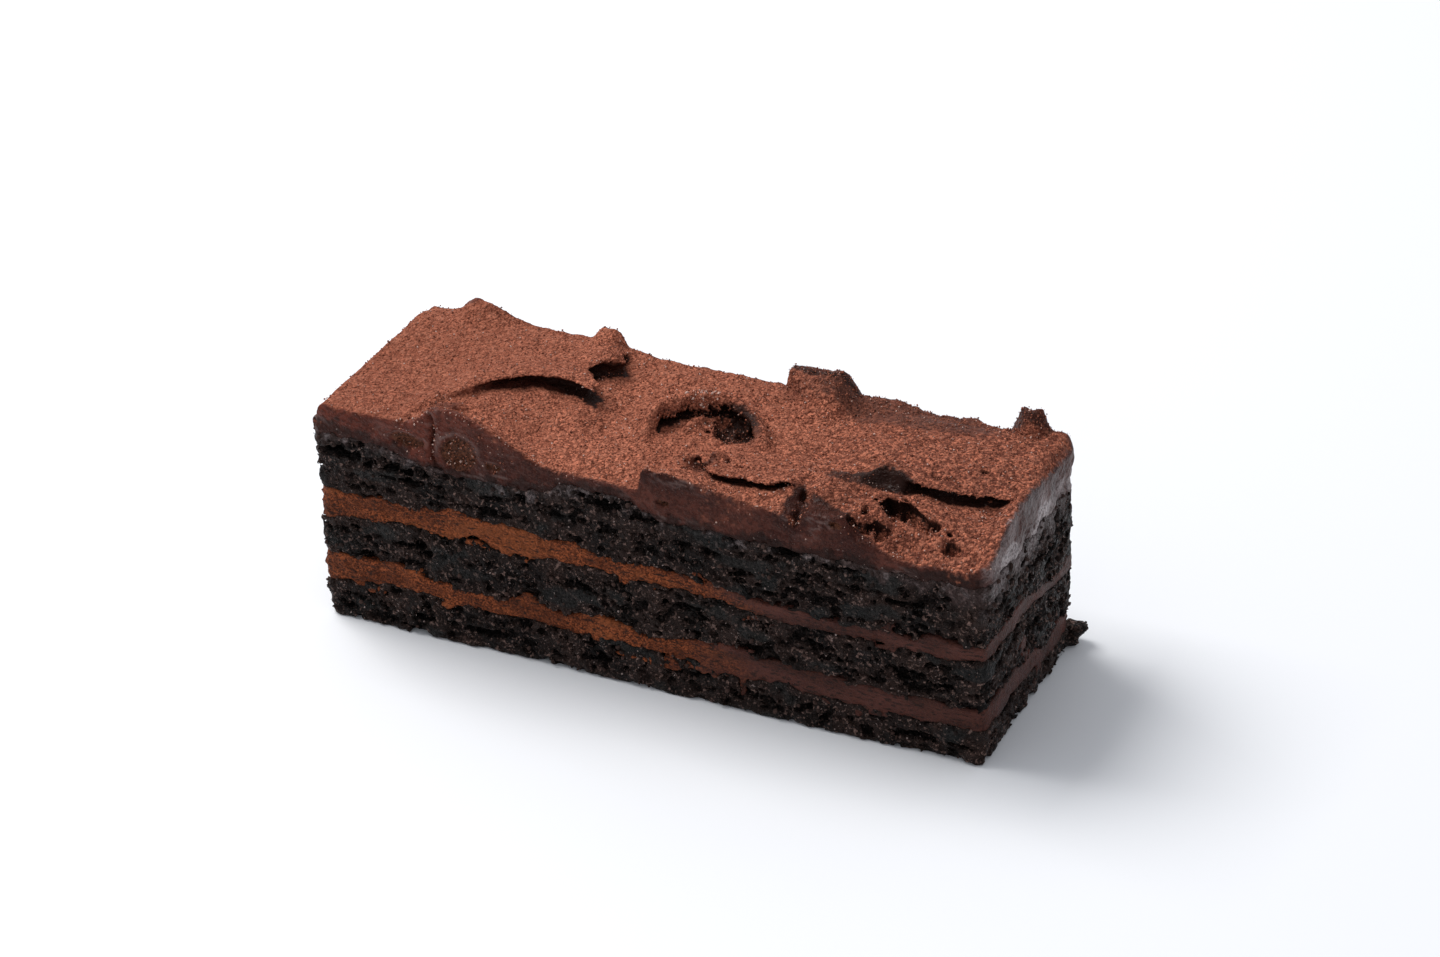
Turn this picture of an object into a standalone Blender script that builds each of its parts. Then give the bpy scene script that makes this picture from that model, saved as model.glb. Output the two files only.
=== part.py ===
"""A slice of layered chocolate cake, as Blender solids.

Three dark sponges hold two bands of chocolate cream, and a thick frosting covers the top. The slice lies along X,
its long cut faces look along -Y and +Y, and it stands on Z = 0. Shapes are worked out in millimetres and turned
into metres where the meshes are made. Neighbouring layers share one seam, with a hair's gap in it.
"""

import bpy
import numpy as np

MM = 0.001
SEAM_GAP = 0.3  # air left in each seam, so that no two solids touch

# The slice, cut a little out of square.
LENGTH = 125.0
WIDTH = 41.0
BACK_LEFT_LEAN = 1.4  # how far the back's left corner stands in from square
BACK_RIGHT_LEAN = 0.6
HALF_LENGTH = LENGTH / 2
HALF_WIDTH = WIDTH / 2
CUT_WANDER = 0.35  # how far the knife strays from flat
WANDER_CELL = 17.0

# Rows of faces along and across the slice.
SEAM_COLUMNS = 32
SEAM_ROWS = 6
TOP_COLUMNS = 64
TOP_ROWS = 24

# The frosting's landmarks.
LEAST_FROSTING = 1.4
PLAIN_HEIGHT = 40.5
EDGE_DEPTH = 7.0  # how far in from a cut the frosting still follows the cut's outline
RIM_DEPTH = 3.0

# A torn corner of the bottom sponge that pokes out behind.
TORN_CORNER_REACH = 2.2
TORN_CORNER_SPREAD = 4.0

COLOURS = {
    "sponge": (0.016, 0.013, 0.013),
    "cream": (0.100, 0.032, 0.016),
    "frosting": (0.185, 0.082, 0.058),
}
ROUGHNESS = {"sponge": 0.9, "cream": 0.6, "frosting": 0.8}


# ---------------------------------------------------------------- shaping curves


def ease(value, start, end):
    """0 before start, 1 after end, and a smooth climb between."""
    t = np.clip((value - start) / (end - start), 0.0, 1.0)
    return t * t * (3.0 - 2.0 * t)


def hump(value, middle, spread):
    return np.exp(-(((value - middle) / spread) ** 2))


def mound(x, y, at, size):
    return hump(x, at[0], size[0]) * hump(y, at[1], size[1])


def shelf(value, start, end, edge):
    """1 between start and end, fading over edge on both sides."""
    half = edge / 2
    return ease(value, start - half, start + half) * (1.0 - ease(value, end - half, end + half))


def wander(seed, x, y):
    """Smooth noise from -1 to 1 over cells one unit wide."""
    size = 64
    table = np.random.default_rng(seed).uniform(-1.0, 1.0, (size, size))
    column, row = np.floor(x).astype(int), np.floor(y).astype(int)
    across, along = ease(x - column, 0.0, 1.0), ease(y - row, 0.0, 1.0)

    def corner(i, j):
        return table[(column + i) % size, (row + j) % size]

    near = corner(0, 0) * (1.0 - across) + corner(1, 0) * across
    far = corner(0, 1) * (1.0 - across) + corner(1, 1) * across
    return near * (1.0 - along) + far * along


# ---------------------------------------------------------------- seams between the layers


def cream_lower_floor(x):
    return 8.6 - 1.5 * ease(x, 0, 22) - 1.4 * hump(x, -63, 6) + 0.6 * hump(x, -47, 5) + 0.6 * hump(x, 26, 3)


def cream_lower_roof(x):
    fall = 13.2 - 1.7 * ease(x, -48, -38) - 0.5 * ease(x, 28, 42)
    swell = 1.7 * hump(x, -21.5, 2.6) + 0.9 * hump(x, -8, 4) + 1.2 * hump(x, 14, 7)
    return fall + swell - 0.9 * hump(x, 1, 2.2) + 0.6 * hump(x, 53, 2.8) + 0.6 * hump(x, 63, 3)


def cream_upper_floor(x):
    fall = 21.9 - 1.5 * ease(x, 6, 34)
    swell = 0.7 * hump(x, -45, 5) + 1.3 * hump(x, -32, 2.6) + 0.6 * hump(x, -9, 4)
    return fall + swell - 1.6 * hump(x, -63, 8) - 0.7 * hump(x, -24, 3.5)


def cream_upper_roof(x):
    fall = 26.3 - 3.5 * ease(x, -25, 36)
    swell = 1.9 * hump(x, -35, 3.0) + 0.6 * hump(x, -25, 3) + 0.7 * hump(x, 13, 3)
    return fall + swell - 0.6 * hump(x, -4, 4) + 1.3 * hump(x, 54, 2.5) + 0.6 * hump(x, 63, 3)


def frosting_floor(x):
    return 35.0 + 2.8 * (1.0 - ease(x, -49, -39)) + 2.8 * shelf(x, -16, 1, 6)


# Each seam's outline on the front cut, its height deep inside, and how much it droops at the right end's back.
SEAMS = (
    (cream_lower_floor, 8.2, 0.8),
    (cream_lower_roof, 11.9, 1.1),
    (cream_upper_floor, 21.4, 0.8),
    (cream_upper_roof, 24.8, 1.0),
    (frosting_floor, 35.8, 0.5),
)
DROOP = 3.8


def seam_height(index, x, y):
    """Height of a seam, counted from the bottom one."""
    front, inside, droop = SEAMS[index]
    from_front = ease(y, -HALF_WIDTH, -HALF_WIDTH + 12.0)
    hidden = inside + 0.9 * wander(index + 11, x / 9.0, y / 9.0 + 3.0)
    level = front(x) * (1.0 - from_front) + hidden * from_front
    right_end = ease(x, 30.0, HALF_LENGTH)
    return level * (1.0 - right_end) + right_end * (
        front(x) - droop * DROOP * ease(y, -9.0, 14.0) + 0.5 * wander(index + 31, x / 9.0, y / 6.0)
    )


# ---------------------------------------------------------------- the frosting's top


def front_outline(x):
    """Height of the frosting where the front cut meets its top."""
    left = 43.2 - 3.3 * ease(x, -30, -15) + 4.2 * hump(x, -37, np.where(x < -37, 3.8, 11.0))
    middle = 4.3 * ease(x, 0.2, 1.4) * (1.0 - 0.7 * ease(x, 3, 26)) * (1.0 - ease(x, 28, 29))
    right = -3.1 * ease(x, 36, 50) * (1.0 - 0.6 * ease(x, 58, HALF_LENGTH))
    drape = 2.4 * shelf(x, 29.5, 38.5, 3.5) - 1.4 * hump(x, 28.9, 0.8)
    return left + middle + right + drape


def flap_rise(x):
    return 4.6 * ease(x, 10.7, 11.2) * (1.0 - ease(x, 20.5, 25.0))


def corner_rise(x):
    return 4.6 * np.exp(-(((x - 55.3) / 2.8) ** 4))


def back_outline(x):
    """Height of the frosting along the back cut, with its standing flaps."""
    peaks = 3.5 * hump(x, -50.6, np.where(x < -50.6, 3.2, 6.0)) + 2.8 * shelf(x, -26.8, -21.6, 2.6)
    return 40.5 + 1.6 * ease(x, -14, -24) + peaks + flap_rise(x) + corner_rise(x)


def ledge_line(x):
    """Where the tall left terrace ends in an overhanging ledge, in plan."""
    return 0.3 - 0.047 * (x + 24.0) ** 2


def terrace(x, y):
    """1 on the tall left terrace and 0 off it."""
    behind = ease(y - ledge_line(x), -0.9, 0.9)
    right_edge = -16.6 - 5.0 * hump(y, 9.0, 6.5)
    return np.maximum(behind * (1.0 - ease(x, right_edge - 0.9, right_edge + 0.9)), 1.0 - ease(x, -47, -45))


def terrace_height(x, y):
    lip = ease(x, -48, -38) * hump(y - ledge_line(x), 0.0, 10.0)
    return 43.3 + 2.0 * lip + 0.3 * wander(5, x / 8.0, y / 8.0)


def lower_height(x, y):
    """The frosting off the terrace: a ridge at the cut, a plain, a torn curl, a fold and a sloping field."""
    ridge_back = 3.4 * (1.0 - ease(x, -40, -19)) * (1.0 - ease(y, -6, 2))
    plain = PLAIN_HEIGHT + 0.8 * ease(y, 6, 20) + 0.3 * wander(6, x / 7.0, y / 7.0)
    curl = 3.4 * np.exp(-(((np.hypot((x - 4.3) / 9.6, (y + 3.5) / 9.6) - 1.0) / 0.22) ** 2)) * ease(y, -8, 0)
    fold = 2.6 * ease(x, 8, 14) * ease(y, -16.6, -15.0) * (1.0 - 0.8 * ease(y, -13, -1)) * (1.0 - ease(x, 24, 28))
    field = 2.1 * ease(x, 25, 33) * (1.0 - 0.6 * ease(y, 6, 18)) + 1.8 * mound(x, y, (30.0, -13.5), (5.0, 5.0))
    crest = 1.6 * ease(x, 33, 38) * hump(y, -5.0, np.where(y < -5.0, 1.6, 6.0)) * (1.0 - ease(x, 58, 62))
    slope = -3.3 * ease(x, 38, 50) * (1.0 - ease(y, -19, -8))
    return plain + ridge_back + curl + fold + field + crest + slope


# Torn hollows: place, half widths, depth.
HOLLOWS = (
    ((-27.0, -1.6), (6.5, 2.0), 1.6),
    ((-20.8, 11.5), (2.6, 3.4), 2.6),
    ((6.0, -0.5), (5.5, 2.6), 2.6),
    ((43.5, -12.6), (3.6, 2.4), 3.0),
    ((49.5, -14.4), (3.6, 1.3), 1.6),
    ((42.6, -18.0), (2.4, 1.2), 1.8),
    ((51.0, -8.0), (8.5, 1.5), 2.0),
    ((18.5, -16.2), (7.5, 1.0), 1.5),
)


def frosting_top(x, y):
    """Height of the frosting's top surface."""
    on_terrace = terrace(x, y)
    inside = terrace_height(x, y) * on_terrace + lower_height(x, y) * (1.0 - on_terrace)
    for place, size, depth in HOLLOWS:
        inside = inside - depth * mound(x, y, place, size)
    near_front = 1.0 - ease(y, -HALF_WIDTH, -HALF_WIDTH + EDGE_DEPTH)
    near_back = 1.0 - ease(y, HALF_WIDTH, HALF_WIDTH - EDGE_DEPTH)
    height = inside * (1.0 - near_front - near_back) + front_outline(x) * near_front + back_outline(x) * near_back
    left_rim = 1.0 - ease(x, -HALF_LENGTH, -HALF_LENGTH + RIM_DEPTH)
    right_rim = ease(x, HALF_LENGTH - RIM_DEPTH, HALF_LENGTH) * ease(y, -6.0, 12.0)
    height = height - (height - 39.6) * left_rim - (height - 38.6) * right_rim
    return np.maximum(height, seam_height(len(SEAMS) - 1, x, y) + LEAST_FROSTING)


# ---------------------------------------------------------------- the slice in plan


def plan(columns, rows):
    """Grid points of the slice seen from above, column by column, with the corners a little out of square."""
    along, across = np.meshgrid(np.linspace(-1, 1, columns + 1), np.linspace(-1, 1, rows + 1), indexing="ij")
    lean = np.where(along < 0, BACK_LEFT_LEAN, BACK_RIGHT_LEAN) * np.abs(along) * (across + 1.0) / 2
    return along * HALF_LENGTH + lean, across * HALF_WIDTH


def pushed_out(x, y, seed, out):
    """The same grid with its rim moved out of the cut faces by a wandering amount."""
    x, y = x.copy(), y.copy()
    for rim, side in ((0, -1), (-1, 1)):
        x[rim, :] += side * (out + CUT_WANDER * wander(seed, y[rim, :] / WANDER_CELL + 7 * rim, 0.5 + 0 * y[rim, :]))
        y[:, rim] += side * (out + CUT_WANDER * wander(seed, x[:, rim] / WANDER_CELL + 7 * rim, 2.5 + 0 * x[:, rim]))
    return x, y


def rim_of(columns, rows):
    """Grid index of every rim point, anticlockwise from the front's left corner."""
    front = [(i, 0) for i in range(columns)]
    right = [(columns, j) for j in range(rows)]
    back = [(i, rows) for i in range(columns, 0, -1)]
    left = [(0, j) for j in range(rows, 0, -1)]
    return front + right + back + left


def grid_faces(columns, rows, first, looks_up):
    """Two triangles for each cell of a grid whose points start at index first."""
    faces = []
    for i in range(columns):
        for j in range(rows):
            a = first + i * (rows + 1) + j
            b, c, d = a + rows + 1, a + rows + 2, a + 1
            cell = [(a, b, c), (a, c, d)]
            faces += cell if looks_up else [face[::-1] for face in cell]
    return faces


def band_faces(lower, upper):
    """Closes the band between two rims that start at the same corner, when one has a whole multiple of the
    other's points on each side of the slice. Each is a list of (point, side of the slice, share of the side)."""
    faces = []
    low, high = 0, 0
    lower, upper = lower + [lower[0][:1] + (4, 0.0)], upper + [upper[0][:1] + (4, 0.0)]
    while low < len(lower) - 1 or high < len(upper) - 1:
        step_low = low < len(lower) - 1 and (
            high == len(upper) - 1 or lower[low + 1][1:] <= upper[high + 1][1:]
        )
        if step_low:
            faces.append((lower[low][0], lower[low + 1][0], upper[high][0]))
            low += 1
        else:
            faces.append((lower[low][0], upper[high + 1][0], upper[high][0]))
            high += 1
    return faces


def rim_points(columns, rows, first):
    """Rim points for band_faces: point index, side counted from the front, and share of that side passed."""
    points = []
    for place, (i, j) in enumerate(rim_of(columns, rows)):
        side = np.searchsorted([columns, columns + rows, 2 * columns + rows], place, side="right")
        start = (0, columns, columns + rows, 2 * columns + rows)[side]
        count = (columns, rows, columns, rows)[side]
        points.append((first + i * (rows + 1) + j, int(side), (place - start) / count))
    return points


# ---------------------------------------------------------------- solids


def material(name, kind):
    made = bpy.data.materials.new(name)
    made.use_nodes = True
    shader = made.node_tree.nodes["Principled BSDF"]
    shader.inputs["Base Color"].default_value = (*COLOURS[kind], 1.0)
    shader.inputs["Roughness"].default_value = ROUGHNESS[kind]
    shader.inputs["Metallic"].default_value = 0.0
    return made


def solid(name, kind, points, faces):
    """A mesh object in metres from points in millimetres."""
    mesh = bpy.data.meshes.new(name)
    mesh.from_pydata([tuple(float(v) * MM for v in point) for point in points], [], faces)
    mesh.materials.append(material(name, kind))
    thing = bpy.data.objects.new(name, mesh)
    bpy.context.collection.objects.link(thing)
    return thing


def stacked(*sheets):
    """Points of several grids or rims, one after another."""
    return np.concatenate([np.stack([np.ravel(axis) for axis in sheet], 1) for sheet in sheets])


def seam_sheet(index):
    """Plan and height of one seam. The lowest sheet is the flat base, one below seam 0."""
    x, y = pushed_out(*plan(SEAM_COLUMNS, SEAM_ROWS), seed=index + 50, out=0.0)
    return x, y, 0.0 * x if index < 0 else seam_height(index, x, y)


def middle_rim(lower, upper, seed, bulge):
    """The rim halfway up a layer's cut, standing out or in by bulge."""
    x, y = pushed_out((lower[0] + upper[0]) / 2, (lower[1] + upper[1]) / 2, seed, bulge)
    rim = tuple(np.transpose(rim_of(SEAM_COLUMNS, SEAM_ROWS)))
    return x[rim], y[rim], ((lower[2] + upper[2]) / 2)[rim]


def tear_corner(rim):
    """Draws the bottom sponge's back right corner out into a torn flap."""
    x, y, z = rim
    reach = TORN_CORNER_REACH * np.exp(
        -(((x - HALF_LENGTH) ** 2 + (y - HALF_WIDTH) ** 2) / TORN_CORNER_SPREAD**2)
    )
    return x + reach, y + 0.5 * reach, z


def layer(name, kind, index, bulge, finish=lambda rim: rim):
    """A sponge or cream layer between seam index - 1 and seam index."""
    lower, upper = seam_sheet(index - 1), seam_sheet(index)
    if index > 0:
        lower = (*lower[:2], lower[2] + SEAM_GAP)
    middle = finish(middle_rim(lower, upper, index + 70, bulge))
    sheet_size, rim_size = lower[0].size, middle[0].size
    count = (SEAM_COLUMNS, SEAM_ROWS)
    faces = grid_faces(*count, 0, looks_up=False) + grid_faces(*count, sheet_size, looks_up=True)
    bottom, top = rim_points(*count, 0), rim_points(*count, sheet_size)
    belt = [(2 * sheet_size + k, *bottom[k][1:]) for k in range(rim_size)]
    faces += band_faces(bottom, belt) + band_faces(belt, top)
    return solid(name, kind, stacked(lower, upper, middle), faces)


def frosting():
    """The frosting on its seam, with a finer grid on top than below."""
    lower = seam_sheet(len(SEAMS) - 1)
    lower = (*lower[:2], lower[2] + SEAM_GAP)
    x, y = plan(TOP_COLUMNS, TOP_ROWS)
    height = frosting_top(x, y)
    x, y = pushed_out(x, y, seed=90, out=0.0)
    faces = grid_faces(SEAM_COLUMNS, SEAM_ROWS, 0, looks_up=False)
    faces += grid_faces(TOP_COLUMNS, TOP_ROWS, lower[0].size, looks_up=True)
    faces += band_faces(rim_points(SEAM_COLUMNS, SEAM_ROWS, 0), rim_points(TOP_COLUMNS, TOP_ROWS, lower[0].size))
    return solid("frosting_top", "frosting", stacked(lower, (x, y, height)), faces)


def centre_on_origin(things):
    """Moves every mesh so that the whole's box stands centred on the origin."""
    corners = np.array([vertex.co for thing in things for vertex in thing.data.vertices])
    middle = (corners.min(0) + corners.max(0)) / 2
    for thing in things:
        for vertex in thing.data.vertices:
            vertex.co.x -= middle[0]
            vertex.co.y -= middle[1]


def main():
    for old in list(bpy.data.objects):
        bpy.data.objects.remove(old, do_unlink=True)
    things = [
        layer("sponge_bottom", "sponge", 0, bulge=0.1, finish=tear_corner),
        layer("cream_lower", "cream", 1, bulge=0.3),
        layer("sponge_middle", "sponge", 2, bulge=0.1),
        layer("cream_upper", "cream", 3, bulge=0.2),
        layer("sponge_top", "sponge", 4, bulge=0.0),
        frosting(),
    ]
    centre_on_origin(things)


main()
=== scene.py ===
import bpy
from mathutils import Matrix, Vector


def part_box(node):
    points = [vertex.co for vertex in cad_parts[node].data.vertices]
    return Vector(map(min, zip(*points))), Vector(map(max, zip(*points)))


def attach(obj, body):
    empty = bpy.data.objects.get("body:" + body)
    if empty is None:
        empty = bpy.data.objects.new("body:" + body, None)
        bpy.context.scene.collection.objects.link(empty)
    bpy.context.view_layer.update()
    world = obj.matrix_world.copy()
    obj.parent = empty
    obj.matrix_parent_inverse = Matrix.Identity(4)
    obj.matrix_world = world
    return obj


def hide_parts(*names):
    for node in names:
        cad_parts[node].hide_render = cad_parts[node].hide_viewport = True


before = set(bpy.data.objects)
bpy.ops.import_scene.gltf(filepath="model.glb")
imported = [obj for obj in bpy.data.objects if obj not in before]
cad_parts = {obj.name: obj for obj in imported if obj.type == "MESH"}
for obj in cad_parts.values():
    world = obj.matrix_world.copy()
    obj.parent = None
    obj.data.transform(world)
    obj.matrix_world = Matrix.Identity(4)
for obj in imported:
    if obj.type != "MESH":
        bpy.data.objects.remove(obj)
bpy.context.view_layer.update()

# Chocolate cake slice: crumb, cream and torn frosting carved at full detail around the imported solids, with cocoa
# grains and crumbs on them. Lengths are millimetres until a mesh is made. The slice's own frame has X along the
# long cut, -Y out of the front cut and Z up from the face it stands on.

from types import SimpleNamespace

import bpy
import numpy as np
from bpy.props import FloatProperty, FloatVectorProperty, IntProperty, PointerProperty
from bpy.types import Operator, Panel, PropertyGroup
from mathutils import Matrix, Vector

bl_info = {
    "name": "Chocolate Cake Slice",
    "version": (1, 0, 0),
    "blender": (4, 5, 0),
    "location": "3D View > Sidebar > Cake",
    "description": "Carves a slice of layered chocolate cake with open crumb, smeared cream and torn frosting",
    "category": "Add Mesh",
}

MM = 0.001
BODY = "root"

# Where the slice's own frame lies: at the middle of its frosting, less what the slanting right cut adds to it.
TOP_LOW, TOP_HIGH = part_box("frosting_top")
SLICE_MIDDLE = ((TOP_LOW.x + TOP_HIGH.x) / 2 / MM - 0.2, (TOP_LOW.y + TOP_HIGH.y) / 2 / MM - 0.02)

# The slice, cut a little out of square.
LENGTH, WIDTH = 125.0, 41.0
HALF_LENGTH, HALF_WIDTH = LENGTH / 2, WIDTH / 2
BACK_LEFT_LEAN, BACK_RIGHT_LEAN = 1.4, 0.6
TOP_OF_BLOCK = 50.5
# How far each cut strays from flat, how far out of the cuts a block reaches, and how deep its fine detail goes.
CUT_STRAY = 0.3
OUTSIDE = 2.0
CORE_DEPTH = 3.2
# How far each layer reaches down past its seam, so that no light shows between two layers.
SEAM_LAP = 0.35


# ---------------------------------------------------------------- shaping curves


def ease(value, start, end):
    """0 before start, 1 after end, and a smooth climb between."""
    t = np.clip((value - start) / (end - start), 0.0, 1.0)
    return t * t * (3.0 - 2.0 * t)


def hump(value, middle, spread):
    return np.exp(-(((value - middle) / spread) ** 2))


def mound(x, y, at, size):
    return hump(x, at[0], size[0]) * hump(y, at[1], size[1])


def shelf(value, start, end, edge):
    """1 between start and end, fading over edge on both sides."""
    half = edge / 2
    return ease(value, start - half, start + half) * (1.0 - ease(value, end - half, end + half))


def soft_min(a, b, blend):
    """The lesser of two values, with the corner between them rounded over blend."""
    near = np.clip(1.0 - np.abs(a - b) / blend, 0.0, 1.0)
    return np.minimum(a, b) - blend * near * near / 4


def soft_max(a, b, blend):
    return -soft_min(-a, -b, blend)


def wander(seed, x, y):
    """Smooth noise from -1 to 1 over cells one unit wide."""
    size = 64
    table = np.random.default_rng(seed).uniform(-1.0, 1.0, (size, size))
    x, y = np.broadcast_arrays(x, y)
    column, row = np.floor(x).astype(int), np.floor(y).astype(int)
    across, along = ease(x - column, 0.0, 1.0), ease(y - row, 0.0, 1.0)

    def corner(i, j):
        return table[(column + i) % size, (row + j) % size]

    near = corner(0, 0) * (1.0 - across) + corner(1, 0) * across
    far = corner(0, 1) * (1.0 - across) + corner(1, 1) * across
    return near * (1.0 - along) + far * along


HASH = (73856093, 19349663, 83492791)
SLOPES = 4096


def slopes():
    made = np.random.default_rng(3).normal(size=(SLOPES, 3))
    return (made / np.linalg.norm(made, axis=1, keepdims=True)).astype(np.float32)


SLOPE_TABLE = slopes()


def grain(points, cell, seed, stretch=(1.0, 1.0, 1.0)):
    """Gradient noise of about -1 to 1 at each point, with lumps one cell wide."""
    place = points / (np.array(stretch, np.float32) * np.float32(cell)) + np.float32(17.3 * seed)
    base = np.floor(place)
    part = (place - base).astype(np.float32)
    base = base.astype(np.int64)
    fade = part * part * part * (part * (part * 6.0 - 15.0) + 10.0)
    total = np.zeros(len(points), np.float32)
    for corner in np.ndindex(2, 2, 2):
        key = (base[:, 0] + corner[0]) * HASH[0] ^ (base[:, 1] + corner[1]) * HASH[1]
        key ^= (base[:, 2] + corner[2]) * HASH[2] + seed * 7919
        slope = SLOPE_TABLE[key & (SLOPES - 1)]
        value = ((part - np.array(corner, np.float32)) * slope).sum(1)
        for axis in range(3):
            value = value * (fade[:, axis] if corner[axis] else 1.0 - fade[:, axis])
        total += value
    return total * 1.7


# ---------------------------------------------------------------- seams between the layers


def cream_lower_floor(x):
    return 8.6 - 1.5 * ease(x, 0, 22) - 1.4 * hump(x, -63, 6) + 0.6 * hump(x, -47, 5) + 0.6 * hump(x, 26, 3)


def cream_lower_roof(x):
    fall = 13.2 - 1.7 * ease(x, -48, -38) - 0.5 * ease(x, 28, 42)
    swell = 1.7 * hump(x, -21.5, 2.6) + 0.9 * hump(x, -8, 4) + 1.2 * hump(x, 14, 7)
    return fall + swell - 0.9 * hump(x, 1, 2.2) + 0.6 * hump(x, 53, 2.8) + 0.6 * hump(x, 63, 3)


def cream_upper_floor(x):
    fall = 21.9 - 1.5 * ease(x, 6, 34)
    swell = 0.7 * hump(x, -45, 5) + 1.3 * hump(x, -32, 2.6) + 0.6 * hump(x, -9, 4)
    return fall + swell - 1.6 * hump(x, -63, 8) - 0.7 * hump(x, -24, 3.5)


def cream_upper_roof(x):
    fall = 26.3 - 3.5 * ease(x, -25, 36)
    swell = 1.9 * hump(x, -35, 3.0) + 0.6 * hump(x, -25, 3) + 0.7 * hump(x, 13, 3)
    return fall + swell - 0.6 * hump(x, -4, 4) + 1.3 * hump(x, 54, 2.5) + 0.6 * hump(x, 63, 3)


def frosting_floor(x):
    return 35.0 + 2.8 * (1.0 - ease(x, -49, -39)) + 2.8 * shelf(x, -16, 1, 6)


# Each seam's outline on the front cut, its height deep inside, and how much it droops at the right end's back.
SEAMS = (
    (cream_lower_floor, 8.2, 0.8),
    (cream_lower_roof, 11.9, 1.1),
    (cream_upper_floor, 21.4, 0.8),
    (cream_upper_roof, 24.8, 1.0),
    (frosting_floor, 35.8, 0.5),
)
DROOP = 3.8


def seam_height(index, x, y):
    """Height of a seam, counted from the bottom one."""
    front, inside, droop = SEAMS[index]
    from_front = ease(y, -HALF_WIDTH, -HALF_WIDTH + 12.0)
    hidden = inside + 0.9 * wander(index + 11, x / 9.0, y / 9.0 + 3.0)
    level = front(x) * (1.0 - from_front) + hidden * from_front
    right_end = ease(x, 30.0, HALF_LENGTH)
    return level * (1.0 - right_end) + right_end * (
        front(x) - droop * DROOP * ease(y, -9.0, 14.0) + 0.5 * wander(index + 31, x / 9.0, y / 6.0)
    )


def ragged_edge(points, index):
    """How far a torn seam strays up or down where it shows on the cuts. Both its layers follow the same line."""
    return (0.60 * grain(points, 2.9, 16 + index, (1.4, 1.4, 1.0)) + 0.40 * grain(points, 1.3, 18 + index)
            + 0.20 * grain(points, 0.7, 20 + index))


# ---------------------------------------------------------------- carving blocks


def block_of(low, high, cell):
    """A box of sample points to carve a solid in, with its three axes ready to broadcast."""
    count = [int(np.ceil((b - a) / cell)) + 1 for a, b in zip(low, high)]
    x, y, z = (a + cell * np.arange(n, dtype=np.float32) for a, n in zip(low, count))
    return SimpleNamespace(
        x=x[:, None, None], y=y[None, :, None], z=z[None, None, :], low=np.array(low), cell=cell, shape=tuple(count)
    )


def points_where(block, chosen):
    """Coordinates of the chosen samples."""
    i, j, k = np.nonzero(chosen)
    return np.stack([block.x[i, 0, 0], block.y[0, j, 0], block.z[0, 0, k]], 1)


def cut_depth(x, y, z):
    """How far a point lies inside the four cuts. Each cut strays from flat, and the corners are a little round."""
    lean_left = BACK_LEFT_LEAN * (y + HALF_WIDTH) / WIDTH
    lean_right = BACK_RIGHT_LEAN * (y + HALF_WIDTH) / WIDTH
    left = x + HALF_LENGTH - lean_left + CUT_STRAY * wander(60, y / 11.0, z / 9.0)
    right = HALF_LENGTH + lean_right - x + CUT_STRAY * wander(61, y / 11.0 + 9, z / 9.0)
    front = y + HALF_WIDTH + CUT_STRAY * wander(62, x / 14.0, z / 9.0)
    back = HALF_WIDTH - y + CUT_STRAY * wander(63, x / 14.0, z / 9.0 + 5)
    return soft_min(soft_min(left, right, 1.0), soft_min(front, back, 1.0), 2.2)


def press(field, block, centres, radii, solid):
    """Adds small ellipsoids to a field where solid is true, and carves them out where it is not."""
    axes = [np.ravel(block.x), np.ravel(block.y), np.ravel(block.z)]
    low, cell, top = block.low, block.cell, np.array(block.shape)
    starts = np.clip(((centres - radii * 1.35 - low) / cell).astype(int), 0, top)
    ends = np.clip(((centres + radii * 1.35 - low) / cell).astype(int) + 2, 0, top)
    for centre, radius, start, end in zip(centres, radii, starts, ends):
        if (end - start).min() < 2:
            continue
        a, b, c = (((axes[n][start[n]:end[n]] - centre[n]) / radius[n]) ** 2 for n in range(3))
        lump = (np.sqrt(a[:, None, None] + b[None, :, None] + c[None, None, :]) - 1.0) * radius.min()
        window = field[start[0]:end[0], start[1]:end[1], start[2]:end[2]]
        if solid:
            np.minimum(window, lump, out=window)
        else:
            np.maximum(window, -lump, out=window)


CORNERS = np.array(list(np.ndindex(2, 2, 2)))
EDGES = [(a, b) for a in range(8) for b in range(a + 1, 8) if np.abs(CORNERS[a] - CORNERS[b]).sum() == 1]


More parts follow.
